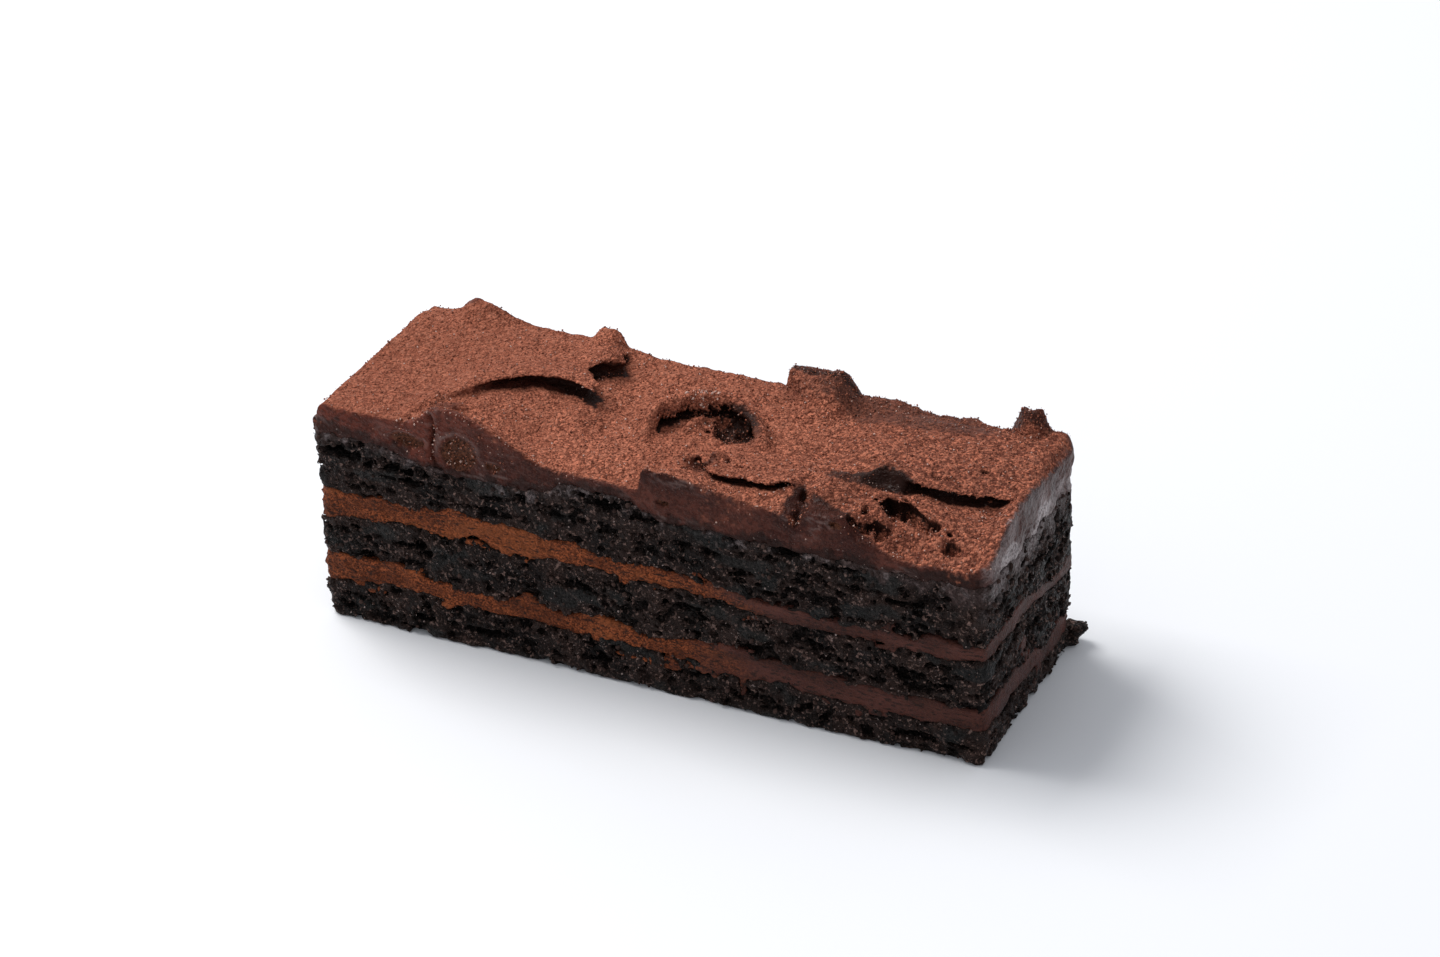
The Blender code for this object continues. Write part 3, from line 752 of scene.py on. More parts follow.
# Torn hollows: middle, half sizes, turn in plan.
HOLLOWS = (
    ((43.8, -12.6, 40.4), (4.5, 2.8, 2.8), -0.15),
    ((48.8, -13.5, 40.0), (4.8, 1.4, 2.2), -0.27),
    ((42.3, -17.2, 39.6), (2.8, 1.4, 2.1), -0.05),
    ((38.0, -18.4, 41.2), (0.8, 0.7, 1.2), 0.3),
    ((39.4, -15.6, 41.6), (0.55, 1.6, 1.3), 0.2),
    ((54.8, -16.5, 38.8), (1.2, 1.1, 2.0), 0.0),
    ((27.8, 7.3, 42.6), (2.4, 0.6, 0.9), 0.52),
    ((47.0, -3.5, 43.2), (0.8, 0.5, 0.7), 0.1),
    ((49.0, -3.2, 43.0), (0.9, 0.45, 0.6), 0.1),
    ((53.6, 1.5, 42.4), (0.8, 0.5, 0.8), 0.4),
    ((7.4, 2.0, 40.2), (4.8, 3.6, 2.0), -0.30),
    ((-2.9, -0.6, 40.7), (1.2, 3.4, 0.9), -0.25),
    ((8.0, -12.4, 42.2), (1.7, 2.8, 1.7), -0.25),
    ((10.4, -8.6, 42.7), (2.2, 0.8, 1.1), 0.35),
    ((12.4, -9.9, 42.9), (0.5, 1.5, 1.3), 0.15),
    ((15.6, -11.4, 43.3), (1.2, 0.4, 1.0), 0.1),
    ((6.5, -13.2, 41.9), (0.9, 0.8, 1.3), 0.0),
    ((29.2, -17.8, 42.8), (0.75, 2.6, 1.8), 0.3),
)
# Lumps that stand on the frosting, the same way: the post in the curl, the nodule by the crease, crusts on edges.
KNOBS = (
    ((0.9, 1.2, 40.4), (1.1, 2.9, 1.5), -0.35),
    ((-38.8, -14.6, 43.8), (2.4, 1.6, 0.9), 0.7),
    ((-24.3, -19.9, 42.6), (1.5, 1.0, 0.9), -0.3),
    ((-21.8, -20.2, 41.7), (1.2, 0.7, 0.8), -0.3),
    ((44.3, 19.7, 40.5), (2.2, 1.5, 1.1), 0.0),
    ((42.2, -10.2, 41.9), (2.4, 0.8, 0.8), -0.1),
    ((9.9, -11.4, 42.5), (1.1, 2.5, 1.5), -0.5),
    ((6.0, -10.9, 41.9), (1.6, 0.7, 0.8), 0.3),
    ((28.6, -19.0, 41.6), (0.7, 0.6, 0.6), 0.0),
    ((-36.3, -13.2, 43.9), (1.2, 0.9, 0.9), 0.2),
    ((-19.9, 11.6, 43.7), (1.7, 1.2, 1.1), 0.2),
    ((0.2, -15.8, 41.3), (1.0, 0.7, 0.5), 0.0),
)
# Crusted places: middle and half sizes in plan.
CRUSTS = (((0.5, 6.0), (5.5, 2.2)), ((33.0, 18.0), (14.0, 3.5)), ((17.0, 18.0), (6.0, 3.0)), ((29.4, -17.6), (1.2, 3.0)), ((8.5, -11.0), (3.5, 3.0)), ((7.0, 2.0), (5.0, 3.0)), ((-33.0, -19.8), (9.0, 1.8)), ((55.3, 19.5), (4.0, 3.0)), ((33.5, -9.6), (3.2, 1.8)),
          ((45.0, -13.0), (7.0, 3.0)), ((-41.0, -15.0), (3.0, 3.5)), ((-20.0, 11.0), (2.5, 5.0)), ((41.5, -17.5), (3.5, 1.8)))
RIM_DEPTH = 3.2


def overhang(z, sheet, floor):
    """A raised sheet as a field: it stops at its top, and a cave runs in under its lip."""
    into, top, reach, lip = (part[:, :, None] if np.ndim(part) else part for part in sheet)
    rise = np.clip((z - floor) / np.maximum(top - lip - floor, 0.3), 0.0, 1.0)
    cave = np.where(reach > 0, reach * np.sqrt(1.0 - (2.0 * rise - 1.0) ** 2), reach * (1.0 - rise))
    return soft_max(z - top, cave - into, lip)


def ellipsoid(block, middle, size, turn):
    """Distance-like field of one ellipsoid turned in plan: negative inside."""
    along, across = block.x[:, :, 0] - middle[0], block.y[:, :, 0] - middle[1]
    cos, sin = np.cos(turn), np.sin(turn)
    flat = ((along * cos + across * sin) / size[0]) ** 2 + ((across * cos - along * sin) / size[1]) ** 2
    return (np.sqrt(flat[:, :, None] + ((block.z - middle[2]) / size[2]) ** 2) - 1.0) * min(size)


CREASE = ((-44.2, -20.6), (-43.2, -17.2), (-42.2, -13.7), (-41.1, -11.3), (-38.4, -10.2), (-35.8, -6.6))


def distance_to_line(x, y, line):
    """Plan distance to a bent line, and how far along it the nearest place is, from 0 to 1."""
    best, where = np.full(np.broadcast(x, y).shape, 1e3), np.zeros(np.broadcast(x, y).shape)
    for number, ((ax, ay), (bx, by)) in enumerate(zip(line[:-1], line[1:])):
        run = np.hypot(bx - ax, by - ay)
        t = np.clip(((x - ax) * (bx - ax) + (y - ay) * (by - ay)) / run**2, 0.0, 1.0)
        away = np.hypot(x - ax - t * (bx - ax), y - ay - t * (by - ay))
        where = np.where(away < best, (number + t) / (len(line) - 1), where)
        best = np.minimum(best, away)
    return best, where


# Bubbles cut open in the front cut's frosting: middle along it, height, half width, half height.
BUBBLES = ((-33.5, 39.0, 3.6, 3.4), (-43.2, 39.8, 3.6, 1.3), (-27.0, 38.0, 1.6, 0.9), (36.0, 41.2, 1.4, 0.6), (5.0, 38.4, 1.2, 0.6))

def frosting(name, cell):
    """The top frosting, with its torn sheets, hollows and cut bubbles."""
    floor = seam_height(4, *plan_grid()).min()
    low = (-HALF_LENGTH - OUTSIDE, -HALF_WIDTH - OUTSIDE, floor - 2.0)
    block = block_of(low, (HALF_LENGTH + OUTSIDE + 0.6, HALF_WIDTH + OUTSIDE, TOP_OF_BLOCK), cell)
    x, y = block.x[:, :, 0], block.y[:, :, 0]
    base = base_height(x, y)
    field = block.z - base[:, :, None]
    for sheet in SHEETS:
        field = soft_min(field, overhang(block.z, sheet(x, y, base), base[:, :, None]), 0.4)
    for knob in KNOBS:
        field = soft_min(field, ellipsoid(block, *knob), 0.5)
    left_rim = 1.0 - ease(x, -HALF_LENGTH, -HALF_LENGTH + RIM_DEPTH)
    right_rim = ease(x, HALF_LENGTH - 0.6 * RIM_DEPTH, HALF_LENGTH + 0.6) * ease(y, -6.0, 12.0)
    field = field + (6.0 * left_rim**2 + 3.0 * right_rim**2)[:, :, None] * ease(block.z, 38.0, 42.0)
    jagged = (wander(45, x / 1.2, y / 1.0) + 0.7 * wander(46, x / 0.6, y / 0.6))[:, :, None]
    for hollow in HOLLOWS:
        uneven = min(0.42 * min(hollow[1]), 0.65) * jagged
        field = soft_max(field, -ellipsoid(block, *hollow) - uneven, 0.35)
    away, along = distance_to_line(x + 0.5 * wander(39, x, y), y, CREASE)
    groove = 0.8 * hump(away, 0.0, 0.45) * (1.0 - 0.6 * along)
    field = field + groove[:, :, None]
    near_top = np.abs(field) < 1.6
    places = points_where(block, near_top)
    rough = 0.20 * grain(places, 3.4, 71) + 0.13 * grain(places, 1.5, 72) + 0.26 * np.abs(grain(places, 0.9, 73)) - 0.08
    crust = np.zeros(len(places))
    for middle, size in CRUSTS:
        crust = np.maximum(crust, mound(places[:, 0], places[:, 1], middle, size))
    rough += crust * (0.80 * np.abs(grain(places, 1.7, 85)) + 0.45 * np.abs(grain(places, 0.9, 86)) - 0.36)
    field[near_top] += rough
    depth = np.broadcast_to(cut_depth(block.x, block.y, block.z), block.shape)
    side = -depth.astype(np.float32)
    for along_cut, height, half_width, half_height in BUBBLES:
        out = np.array([[*OUTWARD["front"], 0.0]])
        press(side, block, on_cut("front", [along_cut], [height]), flat_on_cut(out, half_width, 0.7, half_height), False)
    near = (depth < CORE_DEPTH) & (depth > -OUTSIDE)
    places = points_where(block, near)
    drag = 0.30 * grain(places, 3.2, 76, (1.8, 1.0, 1.0)) + 0.26 * np.abs(grain(places, 1.5, 77, (2.2, 1.2, 0.8)))
    drag += 0.14 * grain(places, 0.9, 96) - 0.05
    crumbly = crumbed(places)
    drag += crumbly * (0.60 * np.abs(grain(places, 1.2, 80)) - 0.10)
    in_bubble = bubbles(places)
    side[near] += drag * (1.0 - in_bubble) + 0.55 * in_bubble * grain(places, 0.9, 78)
    crack = 1.1 * hump(places[:, 0], -38.4 + 0.3 * np.sin(places[:, 2] / 1.3), 0.3) * shelf(places[:, 2], 35.5, 46, 2)
    side[near] += crack * (places[:, 1] < 0)
    field = soft_max(field, side, 0.35)
    ragged = np.zeros(block.shape, np.float32)
    ragged[near] = ragged_edge(places, 4)
    field = soft_max(field, seam_height(4, x, y)[:, :, None] - SEAM_LAP - block.z + ragged, 0.4).astype(np.float32)
    piece, kept = carved_piece(name, block, field, (-1,), seam_height(4, x, y) + 1.0)
    flat = kept.astype(np.float32)
    dust, torn = dusted(piece.data, kept, block, field)
    store(piece.data, "dust", dust)
    store(piece.data, "torn", torn)
    store(piece.data, "bubble", bubbles(flat) * (kept[:, 1] < -HALF_WIDTH + 1.6))
    # The right end gets a painted sheen, and the front cut gets painted highlight streaks.
    at_end = ease(kept[:, 0], HALF_LENGTH - 1.6, HALF_LENGTH - 0.4)
    store(piece.data, "sheen_and_pale", at_end * painted_end_sheen(flat))
    store(piece.data, "shine_streak", painted_shine_streaks(flat) * (1.0 - at_end))
    store(piece.data, "murk", crumbed(flat) * (1.0 - 0.6 * at_end))
    return piece


def crumbed(points):
    """Where dark sponge is dragged into the frosting's cut: a torn foot all round, and most of the left end."""
    above = points[:, 2] - seam_height(4, points[:, 0], points[:, 1])
    foot = 1.1 + 1.3 * grain(points, 2.5, 79) + 0.8 * grain(points, 1.0, 93)
    foot = foot + 2.2 * (1.0 - ease(points[:, 0], -56.0, -46.0)) + 0.9 * ease(points[:, 0], 46.0, 56.0)
    return ease(foot - above, -0.4, 0.6)


def painted_shine_streaks(points):
    """Painted highlights on the front cut: thin pale streaks along it that stand in for the gloss of the knife's drag,
    and bright rims painted on the cut bubbles.
    """
    along = np.abs(grain(points, 2.2, 88, (3.2, 1.0, 0.8)) + 0.25 * grain(points, 0.9, 89, (2.0, 1.0, 0.8)))
    patch = ease(grain(points, 8.0, 91, (1.5, 1.0, 1.0)), -0.1, 0.5)
    rim = np.zeros(len(points), np.float32)
    for middle, height, half_width, half_height in BUBBLES[:3]:
        far = np.hypot((points[:, 0] - middle) / half_width, (points[:, 2] - height) / half_height)
        far = far + 0.12 * grain(points, 1.6, 92)
        rim = np.maximum(rim, hump(far, 1.12, 0.10) * ease(points[:, 2], height - 1.5, height + 1.0))
    on_cut_face = points[:, 1] < -HALF_WIDTH + 1.2
    return on_cut_face * np.clip(0.6 * hump(along, 0.0, 0.07) * patch + 0.45 * rim, 0.0, 0.7)


def painted_end_sheen(points):
    """Painted sheen on the knife-smeared right end, standing in for its reflection of the bright surroundings: 0.4 over
    all of it, 1 in its whitish streaks.
    """
    shine_streak = grain(points, 2.9, 83, (1.0, 1.2, 1.5)) + 0.5 * grain(points, 1.2, 84, (1.0, 1.0, 1.6))
    low = 1.0 - ease(points[:, 2], 36.0, 40.0)
    dull = 1.0 - 0.6 * ease(points[:, 1], 3.0, 15.0)
    return dull * (0.27 + 0.25 * grain(points, 5.0, 87) + 0.80 * ease(shine_streak + 0.5 * low, 0.25, 0.75))


def bubbles(points):
    """1 on the front cut's open bubbles."""
    inside = np.zeros(len(points), np.float32)
    for along, height, half_width, half_height in BUBBLES:
        far = np.hypot((points[:, 0] - along) / half_width, (points[:, 2] - height) / half_height)
        inside = np.maximum(inside, ease(far, 1.0, 0.85))
    return inside


# Places on top left without cocoa, partly where cocoa missed them and partly as painted shade where the top lies in
# shadow: middle, half sizes, turn in plan, how bare.
BARE_AND_SHADED = (
    ((27.6, -17.4), (1.9, 3.2), -0.1, 1.0),
    ((33.2, -9.6), (3.0, 1.7), 0.25, 0.85),
    ((39.5, -7.4), (5.4, 1.9), 0.05, 1.0),
    ((17.0, 19.6), (7.5, 1.7), 0.0, 0.95),
    ((34.0, 17.0), (17.0, 5.6), -0.05, 0.65),
    ((17.0, 17.0), (7.0, 3.6), 0.0, 0.35),
    ((28.9, -18.0), (1.3, 2.8), 0.3, 1.0),
    ((55.0, 20.0), (4.0, 2.2), 0.0, 0.9),
    ((-38.4, -14.3), (2.6, 1.7), 0.7, 0.7),
    ((7.6, 2.6), (4.4, 3.0), -0.30, 0.95),
    ((-36.0, -20.2), (9.0, 0.9), 0.0, 0.9),
    ((-52.0, 20.2), (2.0, 1.2), 0.0, 0.8),
    ((8.6, -11.8), (2.4, 2.8), 0.0, 0.8),
)


def dusted(mesh, points, block, field):
    """How much cocoa lies on each point: full where it faces up under open sky, none where it was left bare, and none
    where it is taken off as painted shade. Also how dark each bare point is made, partly for darker bare frosting and
    partly as painted shade.
    """
    normals = np.zeros(len(points) * 3, np.float32)
    mesh.vertex_normals.foreach_get("vector", normals)
    up = normals.reshape(-1, 3)[:, 2]
    solid = field < 0
    top = block.shape[2] - 1 - solid[:, :, ::-1].argmax(2)
    cell = ((points - block.low) / block.cell).astype(int)
    cover = block.low[2] + block.cell * (top[cell[:, 0], cell[:, 1]] + 1)
    flat = points.astype(np.float32)
    cloud = grain(flat, 0.9, 81)
    cocoa = ease(up + 0.2 * cloud, -0.02, 0.3) * (1.0 - ease(cover - points[:, 2], 0.7, 1.4))
    for (x, y), (wide, deep), turn, share in BARE_AND_SHADED:
        along, across = points[:, 0] - x, points[:, 1] - y
        u = (along * np.cos(turn) + across * np.sin(turn)) / wide
        v = (across * np.cos(turn) - along * np.sin(turn)) / deep
        cocoa = cocoa * (1.0 - share * ease(np.hypot(u, v) + 0.25 * cloud, 1.15, 0.8))
    # Cocoa taken off the right part of the curl's crest as painted shade.
    ring = (np.hypot((points[:, 0] - 4.3) / 8.5, (points[:, 1] + 3.5) / 8.7) - 1.0) * 8.6
    shade = 0.75 * ease(points[:, 0], 5.0, 10.0)
    cocoa = cocoa * (1.0 - shade * shelf(ring + 0.6 * cloud, -0.5, 1.9, 0.9) * ease(points[:, 1], -4.0, 1.5))
    drape = -15.4 - 0.31 * (points[:, 0] - 30.0) - points[:, 1] + 0.4 * cloud
    cocoa = cocoa * (1.0 - ease(drape, -0.3, 0.4) * ease(points[:, 0], 29.0, 30.5))
    rim = cut_depth(*points.T)
    cocoa = cocoa * ease(rim + 0.4 * cloud, 0.0, 0.7)
    # The second value darkens bare points away from the cuts: partly darker bare frosting, partly painted shade.
    return cocoa, (1.0 - cocoa) * ease(rim, 0.6, 1.6) * (1.0 - 0.6 * ease(drape, 0.0, 1.0))


# ---------------------------------------------------------------- grains and crumbs

OCTAHEDRON = (np.array([[1, 0, 0], [-1, 0, 0], [0, 1, 0], [0, -1, 0], [0, 0, 1], [0, 0, -1]], float),
              np.array([[0, 2, 4], [2, 1, 4], [1, 3, 4], [3, 0, 4], [2, 0, 5], [1, 2, 5], [3, 1, 5], [0, 3, 5]]))


def rounded(shape):
    """The same lump with each triangle split in four and the new points pushed out to a ball."""
    points, faces = [list(point) for point in shape[0]], []
    made = {}

    def between(a, b):
        key = (min(a, b), max(a, b))
        if key not in made:
            middle = (np.array(points[a]) + np.array(points[b])) / 2
            points.append(list(middle / np.linalg.norm(middle)))
            made[key] = len(points) - 1
        return made[key]

    for a, b, c in shape[1]:
        ab, bc, ca = between(a, b), between(b, c), between(c, a)
        faces += [(a, ab, ca), (ab, b, bc), (ca, bc, c), (ab, bc, ca)]
    return np.array(points), np.array(faces)


def scattered(name, shape, centres, sizes, tone, rng, uneven):
    """One mesh of many rough lumps, each turned and squashed its own way. Sizes are half widths, tones 0 to 1."""
    count, corners = len(centres), len(shape[0])
    turns = rng.normal(size=(count, 4))
    turns /= np.linalg.norm(turns, axis=1, keepdims=True)
    w, x, y, z = turns.T
    turn = np.stack([
        np.stack([1 - 2 * (y * y + z * z), 2 * (x * y - z * w), 2 * (x * z + y * w)], 1),
        np.stack([2 * (x * y + z * w), 1 - 2 * (x * x + z * z), 2 * (y * z - x * w)], 1),
        np.stack([2 * (x * z - y * w), 2 * (y * z + x * w), 1 - 2 * (x * x + y * y)], 1),
    ], 1)
    squash = rng.uniform(0.65, 1.25, (count, 1, 3)) * sizes[:, None, None]
    rough = rng.uniform(1.0 - uneven, 1.0 + uneven, (count, corners, 1))
    local = shape[0][None] * squash * rough
    points = (np.einsum("nij,nkj->nki", turn, local) + centres[:, None]).reshape(-1, 3)
    faces = (shape[1][None] + corners * np.arange(count)[:, None, None]).reshape(-1, 3)
    piece = mesh_object(name, points, faces.ravel(), np.full(len(faces), 3))
    store(piece.data, "tone", np.repeat(tone, corners))
    unwrap_triangles(piece.data)
    return piece


def seats_on(piece, rng, count, chance):
    """Random points of a piece's mesh with their outward directions, in millimetres. Chance weighs the points."""
    mesh = piece.data
    places, normals = np.zeros(len(mesh.vertices) * 3, np.float32), np.zeros(len(mesh.vertices) * 3, np.float32)
    mesh.vertices.foreach_get("co", places)
    mesh.vertex_normals.foreach_get("vector", normals)
    places = places.reshape(-1, 3) / MM - np.array([*SLICE_MIDDLE, 0.0])
    normals = normals.reshape(-1, 3)
    weight = chance(places, normals)
    chosen = rng.choice(len(places), count, p=weight / weight.sum())
    return places[chosen] + rng.uniform(-0.2, 0.2, (count, 3)), normals[chosen]


def cocoa_grains(name, frosting_piece, count, largest):
    """Loose grains of cocoa on the frosting, thicker towards the right and on the crusted places."""
    rng = np.random.default_rng(500)
    dust = np.zeros(len(frosting_piece.data.vertices), np.float32)
    frosting_piece.data.attributes["dust"].data.foreach_get("value", dust)

    def chance(places, normals):
        x, y = places[:, 0], places[:, 1]
        crust = sum(mound(x, y, middle, size) for middle, size in CRUSTS)
        upper = places[:, 2] > seam_height(4, x, y) + 1.5
        loose = dust * (0.45 + 0.55 * ease(x, -40, 20)) + 1.2 * crust * ease(normals[:, 2], -0.2, 0.4)
        return loose * upper

    at, up = seats_on(frosting_piece, rng, count, chance)
    sizes = 0.09 + (largest - 0.09) * rng.random(count) ** 3
    crest = mound(at[:, 0], at[:, 1], (-0.5, 6.2), (4.5, 1.8)) > 0.4
    sizes = np.where(crest, sizes * 1.5, sizes)
    rim = at[:, 1] < -HALF_WIDTH + 1.0
    tone = np.maximum(rng.random(count), (crest | rim) * rng.random(count) ** 0.15)
    return scattered(name, OCTAHEDRON, at + up * (0.35 * sizes)[:, None], sizes, tone, rng, 0.25)


def sponge_crumbs(name, sponges, count, largest):
    """Loose crumbs that cling to the cuts, more of them just under the frosting."""
    rng = np.random.default_rng(510)
    lumps, ways = [], []
    for piece in sponges:

        def chance(places, normals):
            rim = cut_depth(*places.T)
            low = places[:, 2] > 0.8
            under_frosting = hump(places[:, 2], seam_height(4, places[:, 0], places[:, 1]) - 0.6, 1.0)
            return low * ease(rim, 1.2, 0.2) * (np.abs(normals[:, 2]) < 0.8) * (1.0 + 3.0 * under_frosting)

        at, way = seats_on(piece, rng, count, chance)
        lumps.append(at)
        ways.append(way)
    at, way = np.concatenate(lumps), np.concatenate(ways)
    sizes = 0.12 + (largest - 0.12) * rng.random(len(at)) ** 3
    tone = rng.random(len(at)) * np.where(sizes > 0.22, 0.85, 1.0)
    return scattered(name, rounded(OCTAHEDRON), at + way * (0.3 * sizes)[:, None], sizes, tone, rng, 0.22)


# ---------------------------------------------------------------- unwrapping

MARGIN = 1.5


def unwrap(mesh, points):
    """Lays the faces out flat: the four cuts as strips, then the faces that look up and those that look down."""
    faces = len(mesh.polygons)
    normals = np.zeros(faces * 3, np.float32)
    mesh.polygons.foreach_get("normal", normals)
    normals = normals.reshape(-1, 3)
    centres = np.zeros(faces * 3, np.float32)
    mesh.polygons.foreach_get("center", centres)
    centres = centres.reshape(-1, 3) / MM - np.array([*SLICE_MIDDLE, 0.0])
    sizes = np.zeros(faces, np.int32)
    mesh.polygons.foreach_get("loop_total", sizes)
    corners = np.zeros(len(mesh.loops), np.int32)
    mesh.loops.foreach_get("vertex_index", corners)
    gaps = np.stack([centres[:, 1] + HALF_WIDTH, HALF_LENGTH - centres[:, 0], HALF_WIDTH - centres[:, 1], centres[:, 0] + HALF_LENGTH], 1)
    steep = np.abs(normals[:, 2]) < 0.75
    on_side = (gaps.min(1) < 2.6) & steep
    kind = np.where(on_side, gaps.argmin(1), np.where(normals[:, 2] > 0, 4, 5))
    kind = np.repeat(kind, sizes)
    x, y, z = points[corners].T
    tall = points[:, 2].max() - points[:, 2].min() + 2 * MARGIN
    low = points[:, 2].min()
    across, wide = x + HALF_LENGTH + 2 * MARGIN, LENGTH + 6 * MARGIN
    depth = WIDTH + 4 * MARGIN
    u = np.select([(kind == 1), (kind == 3)], [y + HALF_WIDTH + 2 * MARGIN, y + HALF_WIDTH + 2 * MARGIN + depth], across)
    rows = [0.0, 2 * tall, tall, 2 * tall, 3 * tall, 3 * tall + depth]
    v = np.select([kind == k for k in range(6)], [rows[k] + (z - low + MARGIN if k < 4 else y + HALF_WIDTH + 2 * MARGIN) for k in range(6)])
    side = max(wide, 3 * tall + 2 * depth)
    layer = mesh.uv_layers.new(name="OFBake")
    layer.data.foreach_set("uv", (np.stack([u, v], 1) / side).astype(np.float32).ravel())


def unwrap_triangles(mesh):
    """Lays each triangle of a scattered piece in a square of its own."""
    count = len(mesh.polygons)
    across = int(np.ceil(np.sqrt(count)))
    number = np.arange(count)
    square = np.stack([number % across, number // across], 1)
    corners = np.array([(0.12, 0.12), (0.88, 0.12), (0.12, 0.88)])
    layer = mesh.uv_layers.new(name="OFBake")
    layer.data.foreach_set("uv", ((square[:, None] + corners) / across).astype(np.float32).ravel())


# ---------------------------------------------------------------- materials


def group(name, inputs, outputs):
    """A node group with its sockets: (name, kind, default) for each input, (name, kind) for each output."""
    tree = bpy.data.node_groups.new(name, "ShaderNodeTree")
    for label, kind, default in inputs:
        socket = tree.interface.new_socket(label, in_out="INPUT", socket_type="NodeSocket" + kind)
        socket.default_value = default
    for label, kind in outputs:
        tree.interface.new_socket(label, in_out="OUTPUT", socket_type="NodeSocket" + kind)
    return tree, tree.nodes.new("NodeGroupInput"), tree.nodes.new("NodeGroupOutput")


def node(tree, kind, **settings):
    """Adds a node. Settings that name a socket set its value or link it, and the rest set the node itself."""
    made = tree.nodes.new("ShaderNode" + kind)
    for key, value in settings.items():
        if hasattr(made, key) and not key.startswith("in_"):
            setattr(made, key, value)
            continue
        label = key[3:]
        socket = made.inputs[int(label)] if label.isdigit() else made.inputs[label.replace("_", " ")]
        if isinstance(value, bpy.types.NodeSocket):
            tree.links.new(value, socket)
        else:
            socket.default_value = value
    return made


def noise(tree, scale, detail=2.0, roughness=0.5, vector=None, distortion=0.0):
    """Noise over the object, with lumps 1/scale metres wide."""
    if vector is None:
        vector = node(tree, "TexCoord").outputs["Object"]
    made = node(tree, "TexNoise", in_Vector=vector, in_Scale=scale, in_Detail=detail, in_Roughness=roughness,
                in_Distortion=distortion)
    return made.outputs["Fac"]


def ramp(tree, value, low, high, to_low=0.0, to_high=1.0):
    """Maps a value so that low becomes to_low and high becomes to_high, with nothing beyond them."""
    made = node(tree, "MapRange", in_Value=value, interpolation_type="SMOOTHSTEP")
    for label, number in zip(("From Min", "From Max", "To Min", "To Max"), (low, high, to_low, to_high)):
        made.inputs[label].default_value = number
    return made.outputs["Result"]


def blend(tree, share, a, b, mode="MIX"):
    """Mixes two colours, each a socket or a plain colour."""
    made = node(tree, "Mix", data_type="RGBA", blend_type=mode, in_0=share)
    for slot, colour in ((6, a), (7, b)):
        if isinstance(colour, bpy.types.NodeSocket):
            tree.links.new(colour, made.inputs[slot])
        else:
            made.inputs[slot].default_value = (*colour, 1.0)
    return made.outputs[2]


def maths(tree, operation, a, b=0.5, c=0.5):
    made = node(tree, "Math", operation=operation, in_0=a, in_1=b, in_2=c)
    return made.outputs[0]


def attribute(tree, name):
    return node(tree, "Attribute", attribute_name=name).outputs["Fac"]


def grain_group():
    """Fine grains: their random tone, the few that carry a painted glint, and their height."""
    sockets = [("Tone", "Float"), ("Glint", "Float"), ("Height", "Float")]
    tree, entry, leave = group("cake grain", [("Scale", "Float", 2000.0), ("Glints", "Float", 0.0)], sockets)
    place = node(tree, "TexCoord").outputs["Object"]
    cells = node(tree, "TexVoronoi", in_Vector=place, in_Scale=entry.outputs["Scale"], feature="SMOOTH_F1", in_Smoothness=0.35)
    parts = node(tree, "SeparateColor", in_Color=cells.outputs["Color"])
    finer = maths(tree, "MULTIPLY", entry.outputs["Scale"], 1.1)
    haze = node(tree, "TexNoise", in_Vector=place, in_Scale=finer, in_Detail=2.0, in_Roughness=0.7)
    tone = maths(tree, "MULTIPLY_ADD", parts.outputs["Red"], 0.55, maths(tree, "MULTIPLY", haze.outputs["Fac"], 0.5))
    tree.links.new(ramp(tree, tone, 0.22, 0.84), leave.inputs["Tone"])
    # Glint picks the few grains that get a painted glint in the materials.
    sparks = node(tree, "TexNoise", in_Vector=place, in_Scale=entry.outputs["Scale"], in_Detail=2.0, in_Roughness=0.6)
    flock = node(tree, "TexNoise", in_Vector=place, in_Scale=420.0, in_Detail=2.0)
    chance = maths(tree, "ADD", sparks.outputs["Fac"], entry.outputs["Glints"])
    likely = maths(tree, "MULTIPLY_ADD", flock.outputs["Fac"], 0.45, chance)
    tree.links.new(ramp(tree, likely, 0.97, 1.05), leave.inputs["Glint"])
    tree.links.new(ramp(tree, cells.outputs["Distance"], 0.0, 0.75, 1.0, 0.0), leave.inputs["Height"])
    return tree


def mottle_group():
    """Slow drifts of tone and finer specks over a whole piece, drawn out along the slice when Along is under 1."""
    sockets = [("Scale", "Float", 120.0), ("Along", "Float", 1.0)]
    tree, entry, leave = group("cake mottle", sockets, [("Drift", "Float"), ("Speck", "Float")])
    drawn = node(tree, "CombineXYZ", in_X=entry.outputs["Along"], in_Y=1.0, in_Z=1.0)
    place = node(tree, "VectorMath", operation="MULTIPLY")
    tree.links.new(node(tree, "TexCoord").outputs["Object"], place.inputs[0])
    tree.links.new(drawn.outputs["Vector"], place.inputs[1])
    place = place.outputs["Vector"]
    drift = node(tree, "TexNoise", in_Vector=place, in_Scale=entry.outputs["Scale"], in_Detail=3.0, in_Roughness=0.55)
    finer = maths(tree, "MULTIPLY", entry.outputs["Scale"], 9.0)
    speck = node(tree, "TexNoise", in_Vector=place, in_Scale=finer, in_Detail=3.0, in_Roughness=0.6)
    tree.links.new(ramp(tree, drift.outputs["Fac"], 0.32, 0.68), leave.inputs["Drift"])
    tree.links.new(ramp(tree, speck.outputs["Fac"], 0.35, 0.65), leave.inputs["Speck"])
    return tree


def shared_group(maker, name):
    return bpy.data.node_groups.get(name) or maker()


def use_group(tree, maker, name, scale, glints=None, along=None):
    made = tree.nodes.new("ShaderNodeGroup")
    made.node_tree = shared_group(maker, name)
    made.inputs["Scale"].default_value = scale
    if glints is not None:
        made.inputs["Glints"].default_value = glints
    if along is not None:
        made.inputs["Along"].default_value = along
    return made.outputs


def new_material(name):
    made = bpy.data.materials.new(name)
    made.use_nodes = True
    return made, made.node_tree, made.node_tree.nodes["Principled BSDF"]


